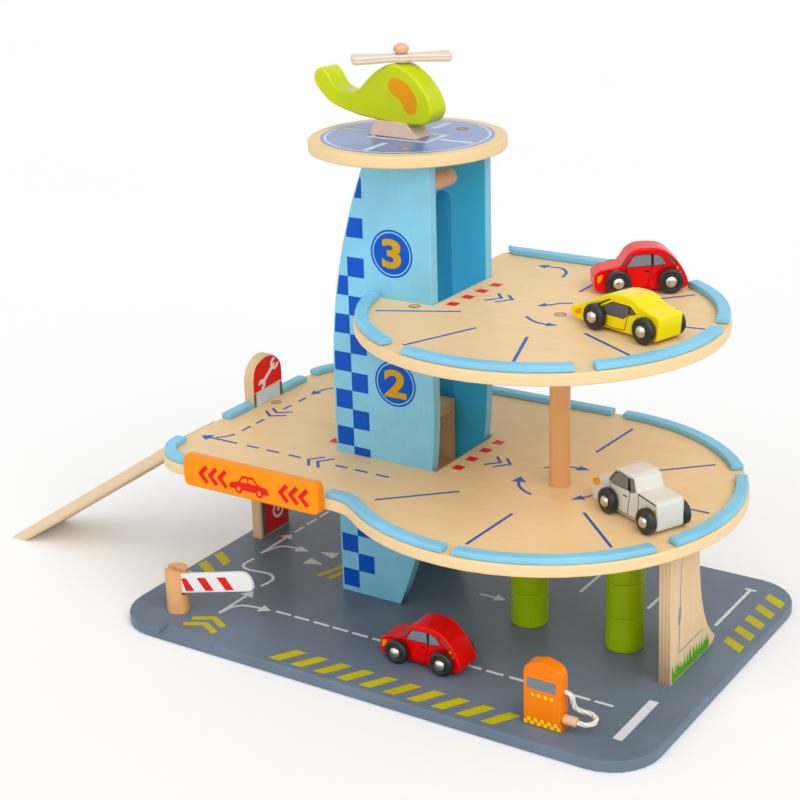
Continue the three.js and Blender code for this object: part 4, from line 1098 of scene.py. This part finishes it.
rightLegMarks = {
    "face": 197, "width": 0.8,
    "lamp": [[(-27, 30), (-27, 52)], [(-27, 66), (-27, 96), (-24, 104), (-18, 108), (-6, 108)],
             [(-10, 105), (-7, 108), (2, 108), (5, 105)], [(-27, 30), (14, 30)]],
    "lampBox": [(-29, 52.5), (-29.4, 58), (-28, 65.5), (-26.4, 66), (-25.2, 64), (-25.6, 57), (-27, 52)],
    "blades": 52, "rowLength": 62, "rowStart": -36, "rowLow": 10.6, "bladeHeight": 17, "bladeWidth": 4.2, "seed": 4,
    "bladeSides": 4, "shortest": 0.4, "leaning": 0.4, "flatness": 0.12,
}


def makeGrassTree():
    look = rightLegMarks
    tree, given = startTree("grassBlades", {
        "Blade Count": "Int", "Row Length": "Float", "Blade Height": "Float", "Blade Width": "Float",
    })
    gap = reckon(tree, "DIVIDE", given["Row Length"], given["Blade Count"])
    step = vectorOf(tree, {1: gap})
    row = addNode(tree, "GeometryNodeMeshLine", {"Count": given["Blade Count"], "Offset": step})
    half = reckon(tree, "MULTIPLY", given["Blade Width"], 0.5)
    blade = addNode(tree, "GeometryNodeMeshCone", {
        "Vertices": look["bladeSides"], "Radius Top": 0.0, "Radius Bottom": half, "Depth": given["Blade Height"],
    })
    tall = randomValue(tree, given["Seed"], look["shortest"], 1.0)
    lean = randomValue(tree, given["Seed"], -look["leaning"], look["leaning"])
    size = vectorOf(tree, {0: look["flatness"], 1: 1.0, 2: tall})
    placed = {"Rotation": vectorOf(tree, {0: lean}), "Scale": size}
    return endTree(tree, given, row.outputs["Mesh"], blade.outputs["Mesh"], placed)


def printRightLeg():
    look = rightLegMarks
    lines = [stroke(line, look["width"]) for line in look["lamp"]] + [look["lampBox"]]
    printMarks("rightLegLamp", lines, facingRight(look["face"]), "inkGrey")
    piece = makeObject("rightLegGrass", bpy.data.meshes.new("grassStart"))
    runTree(piece, makeGrassTree(), {
        "Blade Count": look["blades"], "Row Length": look["rowLength"] * mm, "Blade Height": look["bladeHeight"] * mm,
        "Blade Width": look["bladeWidth"] * mm, "Seed": look["seed"], "Finish": finishes["grassGreen"],
    })
    piece.data.transform(Matrix.Translation(Vector((look["face"], look["rowStart"], look["rowLow"])) * mm))
    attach(piece, "root")


printRightLeg()

barrierMarks = {
    "front": -123, "back": -119,
    "stripes": [
        [(-174.8, 39), (-169.7, 40.3), (-162, 31.6), (-170.4, 29.3)],
        [(-159.2, 43.3), (-150.6, 45.3), (-142.8, 36.5), (-150.9, 34.3)],
        [(-139.3, 48.5), (-130.8, 50.5), (-123.1, 41.8), (-131, 39.6)],
    ],
}
for side, place in (("Front", facingFront(barrierMarks["front"])), ("Back", facingBack(barrierMarks["back"]))):
    printMarks("barrierStripes" + side, barrierMarks["stripes"], place, "inkRed", "barrier", "red_paint")

pumpMarks = {
    "face": -134, "window": (134.4, 37.2, 156.2, 45.3), "windowCorner": 0.8, "windowProud": 1.5,
    "dots": [(138.5, 32.9), (143.3, 32.9), (148.4, 32.9), (153, 32.9)], "dotRadius": 1.3, "dotSteps": 20,
    "checkLeft": 131.9, "checkRight": 159.7, "checkSide": 2.55, "checkColumns": 11, "checkLow": 9.9,
}


def printPump():
    look = pumpMarks
    place = facingFront(look["face"])
    window = roundOutline(rectangle(*look["window"]), look["windowCorner"])
    dots = [disc(*dot, look["dotRadius"], look["dotSteps"]) for dot in look["dots"]]
    printMarks("pumpWindow", [window], place, "inkGrey", slot="wood_grey", proud=look["windowProud"])
    printMarks("pumpDots", dots, place, "inkBrightYellow", slot="yellow_paint")
    side = look["checkSide"]
    checks = []
    for column in range(look["checkColumns"]):
        x, z = look["checkLeft"] + column * side, look["checkLow"] + (column % 2) * side
        checks.append(rectangle(x, z, min(x + side, look["checkRight"]), z + side))
    printMarks("pumpCheckers", checks, place, "inkBrightYellow", slot="yellow_paint")


printPump()


# The countersunk edge of each screw's hole, as a brown ring: painted shade of the hole's recess
def printScrewRims():
    look = screwHeads
    for level in ("helipad", "top", "middle"):
        rims = []
        for x, y, z in look["places"]:
            if abs(z - levels[level]) < 1:
                rims += ringShapes(x, y, look["rimRadius"], look["rimWidth"], look["rimParts"])
        place = onTop(levels[level])
        printMarks(level + "ScrewRims", rims, place, "burntWood", slot="wood_pine", proud=look["rimProud"])


printScrewRims()
print("signs printed")


# Helicopter body, its windows and the knob over its rotor

helicopter = {
    "place": (-49.7, 15.3, 368.0), "turn": -4, "length": 108, "height": 43.2, "noseAhead": 32.7, "low": 10.0,
    "thickness": 19, "edge": 1.9, "tightRadius": 5, "gentleDegrees": 55, "sharpDegrees": 60,
    "shares": [(0, 0.652), (0.029, 0.792), (0.084, 0.819), (0.129, 0.722), (0.193, 0.514), (0.282, 0.452),
               (0.366, 0.481), (0.531, 0.843), (0.687, 1), (0.854, 0.819), (0.971, 0.488), (1, 0.24), (0.954, 0.03),
               (0.757, 0.004), (0.391, 0.075), (0.136, 0.244), (0.017, 0.524)],
    "window": [(-5.1, 39.5), (-2.5, 42.8), (4.4, 42.8), (11.8, 39.6), (17.2, 33.7), (20.1, 25.6), (18, 19.1),
               (13.6, 17.9), (9.3, 20), (7, 25.1), (4, 29.1), (-1.6, 31.3), (-4.6, 34.2)],
    "windowRadius": 3, "windowDegrees": 70,
    "pinRadius": 2.5, "neckTop": 59.7, "pinLow": 37.0, "knobRadius": 5.8, "knobMiddle": 62.724, "knobRise": 4.176,
    "knobDegrees": -45, "knobSteps": 12, "knobSegments": 40, "knobSharp": 40,
}


# Where a sawn body's outline stands, and where its printed sides do
def standing(placing):
    return lambda u, v, h: placing @ Vector((u, h, v))


def besides(placing, half, side):
    return lambda u, v, h: placing @ Vector((u, side * (half + h), v))


# A sawn body from its outline, given in shares of its length and height
def sawnBody(name, corners, placing, half, edge, *look):
    form = bmesh.new()
    softPrism(form, corners, standing(placing), -half, half, edge)
    finishPiece(name, form, *look)


def makeHelicopter():
    look = helicopter
    placing = Matrix.Translation(look["place"]) @ Matrix.Rotation(math.radians(look["turn"]), 4, "Z")
    tail, half = look["noseAhead"] - look["length"], look["thickness"] / 2
    corners = [(tail + look["length"] * along, look["low"] + look["height"] * up) for along, up in look["shares"]]
    outline = roundOutline(corners, look["tightRadius"], look["gentleDegrees"])
    sawnBody("helicopterBody", outline, placing, half, look["edge"], "limePaint", "helicopter", "lime_paint",
             ["heli_body"], look["sharpDegrees"])
    window = roundOutline(look["window"], look["windowRadius"], look["windowDegrees"])
    for name, side in (("helicopterWindowRight", -1), ("helicopterWindowLeft", 1)):
        printMarks(name, [window], besides(placing, half, side), "windowOrange", "helicopter", "orange_paint")
    low, neck, radius = look["pinLow"], look["neckTop"], look["pinRadius"]
    knob = dome(look["knobRadius"], look["knobMiddle"], look["knobRise"], look["knobDegrees"], look["knobSteps"])
    form = bmesh.new()
    turn(form, [(0, low), (radius, low), (radius, neck), *knob], placing, look["knobSegments"])
    finishPiece("rotorKnob", form, "knobWood", "helicopter", "dowel_wood", ["heli_rotor_pin"], look["knobSharp"])


makeHelicopter()
print("helicopter made")


# Cars: a sawn and rounded body, printed sides, and turned wheels with domed caps

carForms = {
    "beetle": {
        "length": 69, "height": 33.2, "wheelbase": 38, "noseAhead": 17.2,
        "paint": "carRed", "slot": "red_paint", "glassInk": "inkGrey", "seamInk": "inkMaroon",
        "shares": [(0.01, 0), (0, 0.36), (0.065, 0.49), (0.19, 0.535), (0.285, 0.59), (0.36, 0.86), (0.45, 0.98),
                   (0.61, 1), (0.73, 0.955), (0.83, 0.79), (0.92, 0.55), (0.98, 0.3), (1, 0.13), (0.98, 0.03),
                   (0.94, 0)],
        "glass": [[(13, 19.2), (8.3, 26.9), (6.2, 28.4), (-5.1, 28.9), (-5.5, 20.4)],
                  [(-6.6, 28.6), (-9.4, 28.6), (-12.5, 26.9), (-14.9, 23.8), (-16.5, 21), (-6.8, 20.2)],
                  [(16.5, 20.5), (9.6, 28.7), (8.2, 29), (15.1, 20.7)],
                  [(-15, 28.7), (-16.7, 28), (-23.7, 20.6), (-22.1, 20.3)]],
        "black": [[(-5.1, 28.9), (-6.6, 28.7), (-6.8, 20), (-5.5, 20.2)],
                  [(-0.7, 16.9), (-4.3, 16.7), (-3.7, 15.6), (-0.5, 15.7)]],
        "lamps": [[(33.7, 8.8), (33.5, 12.9), (31.8, 14.3), (29.5, 14.2), (30.5, 11.3), (32.6, 8.4)],
                  [(-23.3, 19.1), (-25.1, 18.8), (-25.4, 16.7), (-23.6, 17.6)],
                  [(-25.3, 16), (-26.9, 15.3), (-27.1, 13.6), (-25.6, 13.8)]],
        "seams": [[(33.8, 14.5), (28.1, 16.9), (22.4, 17.6), (16.6, 16.3), (12.2, 12.3), (9.4, 7.1), (8.6, 4.5)],
                  [(13, 19.2), (12.7, 14.3), (9.5, 6.5), (8.6, 4.5)],
                  [(-5.4, 19.7), (-5.7, 14.9), (-3.4, 8.9), (-3.1, 4.2)],
                  [(-6.1, 9.6), (-7.9, 13.4), (-11.9, 16.9), (-17.6, 18.6), (-22, 18.7), (-25.9, 15), (-26.9, 11.5)],
                  [(13, 4.1), (-5.3, 4.1)]],
    },
    "coupe": {
        "length": 84, "height": 28, "wheelbase": 45.3, "noseAhead": 27.4,
        "paint": "carYellow", "slot": "yellow_paint", "glassInk": "inkDarkGrey", "seamInk": "inkBrown",
        "shares": [(0.1, 0), (0.03, 0.06), (0, 0.3), (0.03, 0.36), (0.11, 0.43), (0.265, 0.67), (0.41, 0.91),
                   (0.52, 1), (0.69, 0.995), (0.795, 0.83), (0.885, 0.735), (0.985, 0.69), (1, 0.64), (0.98, 0.05),
                   (0.95, 0)],
        "glass": [[(20.7, 15.7), (8.9, 21.9), (-5.9, 21.9), (-6, 16.2), (-1.3, 12.2), (17, 12)],
                  [(-7, 22), (-12.4, 17.8), (-7.1, 16.3)], [(27.6, 15.6), (12.2, 23.1), (10.7, 23.2), (23.8, 16.2)]],
        "black": [],
        "lamps": [[(45.7, 6.8), (42.9, 9.3), (37.9, 11.3), (39.4, 7.5), (42.2, 6.2)],
                  [(-28.5, 13.3), (-30.2, 13.4), (-31.5, 11.8), (-30.7, 10.5), (-28.6, 11.7)]],
        "seams": [[(17, 12), (15.3, 4.2), (-0.4, 4.2), (-2.6, 5.6), (-5.3, 14.7), (-12.2, 17.5)],
                  [(20.7, 15.7), (8.9, 21.9), (-5.9, 21.9), (-12.4, 17.8)], [(-6.4, 22), (-6.5, 16.3)]],
    },
    "pickup": {
        "length": 75, "height": 35, "wheelbase": 43.1, "noseAhead": 23.8,
        "paint": "carCream", "slot": "cream_paint", "glassInk": "inkWarmGrey", "seamInk": "inkBrown",
        "shares": [(0.01, 0), (0, 0.31), (0.025, 0.5), (0.17, 0.59), (0.268, 0.66), (0.345, 0.93), (0.42, 1),
                   (0.61, 1), (0.67, 0.94), (0.705, 0.69), (0.96, 0.66), (1, 0.61), (1, 0.05), (0.97, 0)],
        "glass": [[(24.2, 24.3), (16.6, 32.6), (15.5, 32.8), (22.6, 23.4)],
                  [(22.6, 23.4), (17.1, 30.6), (13.1, 33.2), (2.6, 32.1), (3.1, 22.6), (20.9, 21.7)],
                  [(1, 32.1), (-2.7, 32.2), (-5.1, 23.7), (0, 22.1)]],
        "black": [[(8.4, 17.7), (4, 17.8), (4, 16.9), (8.4, 16.8)],
                  [(-8.6, 24), (-27.6, 22.3), (-27.6, 21.4), (-8.6, 23.1)],
                  [(2.8, 32.2), (1.2, 32.2), (0.4, 22), (3, 22.4)]],
        "lamps": [[(43.6, 16.8), (37.6, 20.5), (35.1, 18.2), (36.3, 14.7), (42.3, 13.1)],
                  [(-25.6, 19), (-27.9, 19), (-27.9, 10), (-25.7, 9)]],
        "seams": [[(-8.5, 23.7), (-8.3, 11.5)], [(1.1, 21.7), (2.1, 13.8), (3.4, 4.2)],
                  [(24, 23.7), (22.4, 12.7), (19.3, 4.2)], [(-8.3, 4.2), (19.3, 4.2)]],
    },
}
cars = [
    ("red_car_low", "beetle", (30.8, -91.9, 9.3), 180),
    ("red_car_high", "beetle", (111.7, 80.6, 256.8), 214.5),
    ("yellow_car", "coupe", (152.1, -15.6, 256.8), 162),
    ("pickup_car", "pickup", (168.4, -28.5, 127.7), 153),
]
carSizes = {
    "width": 23, "edge": 1.5, "underside": 2.2, "cornerRadius": 3.2, "seamWidth": 0.5, "outlineWidth": 0.4,
    "lampRadius": 2, "lampDegrees": 80, "straight": 4, "curveSteps": 3, "sharpDegrees": 55,
    "glassProud": 1.0, "seamProud": 1.5, "outlineProud": 1.4, "blackProud": 1.6, "lampProud": 1.3,
}
wheelSizes = {
    "radius": 9.25, "inside": 11.9, "outside": 17.5, "shoulder": 1.6, "dishRadius": 5.6, "dish": 0.6,
    "dishSlope": 0.7, "capRadius": 4.3, "capHeight": 2.4, "capSunk": 0.2, "capRim": 0.4, "axleRadius": 1.5,
    "shoulderSteps": 6, "capSteps": 8, "capSegments": 32, "sharpDegrees": 40,
}


def makeWheelset(name, placing, body, node):
    look = wheelSizes
    radius, outside, axle, cap = (look[key] for key in ("radius", "outside", "axleRadius", "capRadius"))
    edge, steps, dish = look["shoulder"], look["shoulderSteps"], look["outside"] - look["dish"]
    lying = {side: placing @ Matrix.Rotation(-math.pi / 2 * side, 4, "X") for side in (1, -1)}
    tyre, caps = bmesh.new(), bmesh.new()
    for side in (1, -1):
        turn(tyre, [
            (axle, look["inside"]), *roundedCorner(radius, look["inside"], edge, False, steps),
            *roundedCorner(radius, outside, edge, True, steps), (look["dishRadius"] + look["dishSlope"], outside),
            (look["dishRadius"], dish), (cap - look["capRim"], dish), (axle, dish),
        ], lying[side])
        start = dish - look["capSunk"]
        turn(caps, [(0, start), (cap, start), *dome(cap, outside, look["capHeight"], 0, look["capSteps"])],
             lying[side], look["capSegments"])
    turn(tyre, [(axle, -dish), (axle, dish)], lying[1])
    finishPiece(name + "Tyres", tyre, "tyreBlack", body, "black_plastic", [node], look["sharpDegrees"])
    finishPiece(name + "Caps", caps, "capSteel", body, "steel", (), look["sharpDegrees"])


def makeCar(name, formName, place, turnDegrees):
    look, form = carSizes, carForms[formName]
    placing = Matrix.Translation(place) @ Matrix.Rotation(math.radians(turnDegrees), 4, "Z")
    nose, tall = form["wheelbase"] / 2 + form["noseAhead"], form["height"] - look["underside"]
    corners = [(nose - form["length"] * along, look["underside"] + tall * up) for along, up in form["shares"]]
    half = look["width"] / 2
    sawnBody(name + "_shell", roundOutline(corners, look["cornerRadius"]), placing, half, look["edge"], form["paint"],
             name, form["slot"], [name + "_body"], look["sharpDegrees"])
    lines = [
        curveThrough(line, look["curveSteps"]) if len(line) > look["straight"] else line for line in form["seams"]
    ]
    sidePrints = [
        ("Glass", form["glass"], form["glassInk"], None, look["glassProud"]),
        ("Seams", [stroke(line, look["seamWidth"]) for line in lines], form["seamInk"], None, look["seamProud"]),
        ("Outlines", [part for glass in form["glass"] for part in closedStroke(glass, look["outlineWidth"])],
         "inkBlack", None, look["outlineProud"]),
        ("Black", form["black"], "inkBlack", None, look["blackProud"]),
        ("Lamps", [roundOutline(lamp, look["lampRadius"], look["lampDegrees"]) for lamp in form["lamps"]],
         "inkAmber", "orange_paint", look["lampProud"]),
    ]
    for label, side in (("Left", 1), ("Right", -1)):
        for title, shapes, finish, slot, proud in sidePrints:
            if shapes:
                printMarks(name + label + title, shapes, besides(placing, half, side), finish, name, slot, proud)
    for end, along in (("_front", form["wheelbase"] / 2), ("_rear", -form["wheelbase"] / 2)):
        axle = placing @ Matrix.Translation((along, 0, wheelSizes["radius"]))
        makeWheelset(name + end, axle, name + end + "_wheelset", name + end + "_wheels")


for car in cars:
    makeCar(*car)
print("cars made")


# Floor, light and background

studio = {
    "floorTone": (250, 250, 250), "floorSize": 80, "floorLow": -0.0002, "floorGlow": 0.07, "floorRoughness": 0.9,
    "worldLight": 0.55,
    "lamps": [
        {"name": "key", "from": (0.75, -0.35, 0.85), "strength": 1.42, "soft": 45},
        {"name": "fill", "from": (-0.1, -0.9, 0.45), "strength": 0.72, "soft": 70},
    ],
}
pureWhite = (1, 1, 1, 1)


def makeFloor():
    finish, tree, shader, coordinates = startFinish("studioFloor", shine=0.0)
    texture = spread(tree, evenNoise(tree, coordinates["Object"], size=600.0), 0.0, 1.0)
    tone = blendTones(tree, texture, srgb(studio["floorTone"]), srgb(studio["floorTone"], 0.995))
    tree.links.new(tone, shader.inputs["Base Color"])
    shader.inputs["Roughness"].default_value = studio["floorRoughness"]
    shader.inputs["Emission Color"].default_value = pureWhite
    seen = addNode(tree, "ShaderNodeLightPath").outputs["Is Camera Ray"]
    glow = addNode(tree, "ShaderNodeMapRange", {"Value": seen, "To Min": 0.0, "To Max": studio["floorGlow"]})
    tree.links.new(glow.outputs["Result"], shader.inputs["Emission Strength"])
    half = studio["floorSize"] / 2
    mesh = bpy.data.meshes.new("floor")
    mesh.from_pydata([(x, y, studio["floorLow"]) for x, y in rectangle(-half, -half, half, half)], [], [(0, 1, 2, 3)])
    mesh.materials.append(finish)
    makeObject("floor", mesh)


def makeLight():
    for lamp in studio["lamps"]:
        sun = bpy.data.lights.new(lamp["name"], "SUN")
        sun.energy = lamp["strength"]
        sun.angle = math.radians(lamp["soft"])
        makeObject(lamp["name"], sun).rotation_euler = Vector(lamp["from"]).to_track_quat("Z", "Y").to_euler()
    world = bpy.data.worlds.new("studio")
    bpy.context.scene.world = world
    world.use_nodes = True
    tree = world.node_tree
    background = tree.nodes["Background"]
    background.inputs["Color"].default_value = pureWhite
    rays = addNode(tree, "ShaderNodeLightPath").outputs
    seen = reckon(tree, "MAXIMUM", rays["Is Camera Ray"], rays["Is Glossy Ray"])
    seen = reckon(tree, "MAXIMUM", seen, rays["Is Transmission Ray"])
    strength = addNode(tree, "ShaderNodeMapRange", {"Value": seen, "To Min": studio["worldLight"], "To Max": 1.0})
    tree.links.new(strength.outputs["Result"], background.inputs["Strength"])


makeFloor()
makeLight()
bpy.context.scene.view_settings.view_transform = "Standard"
print("studio lit")
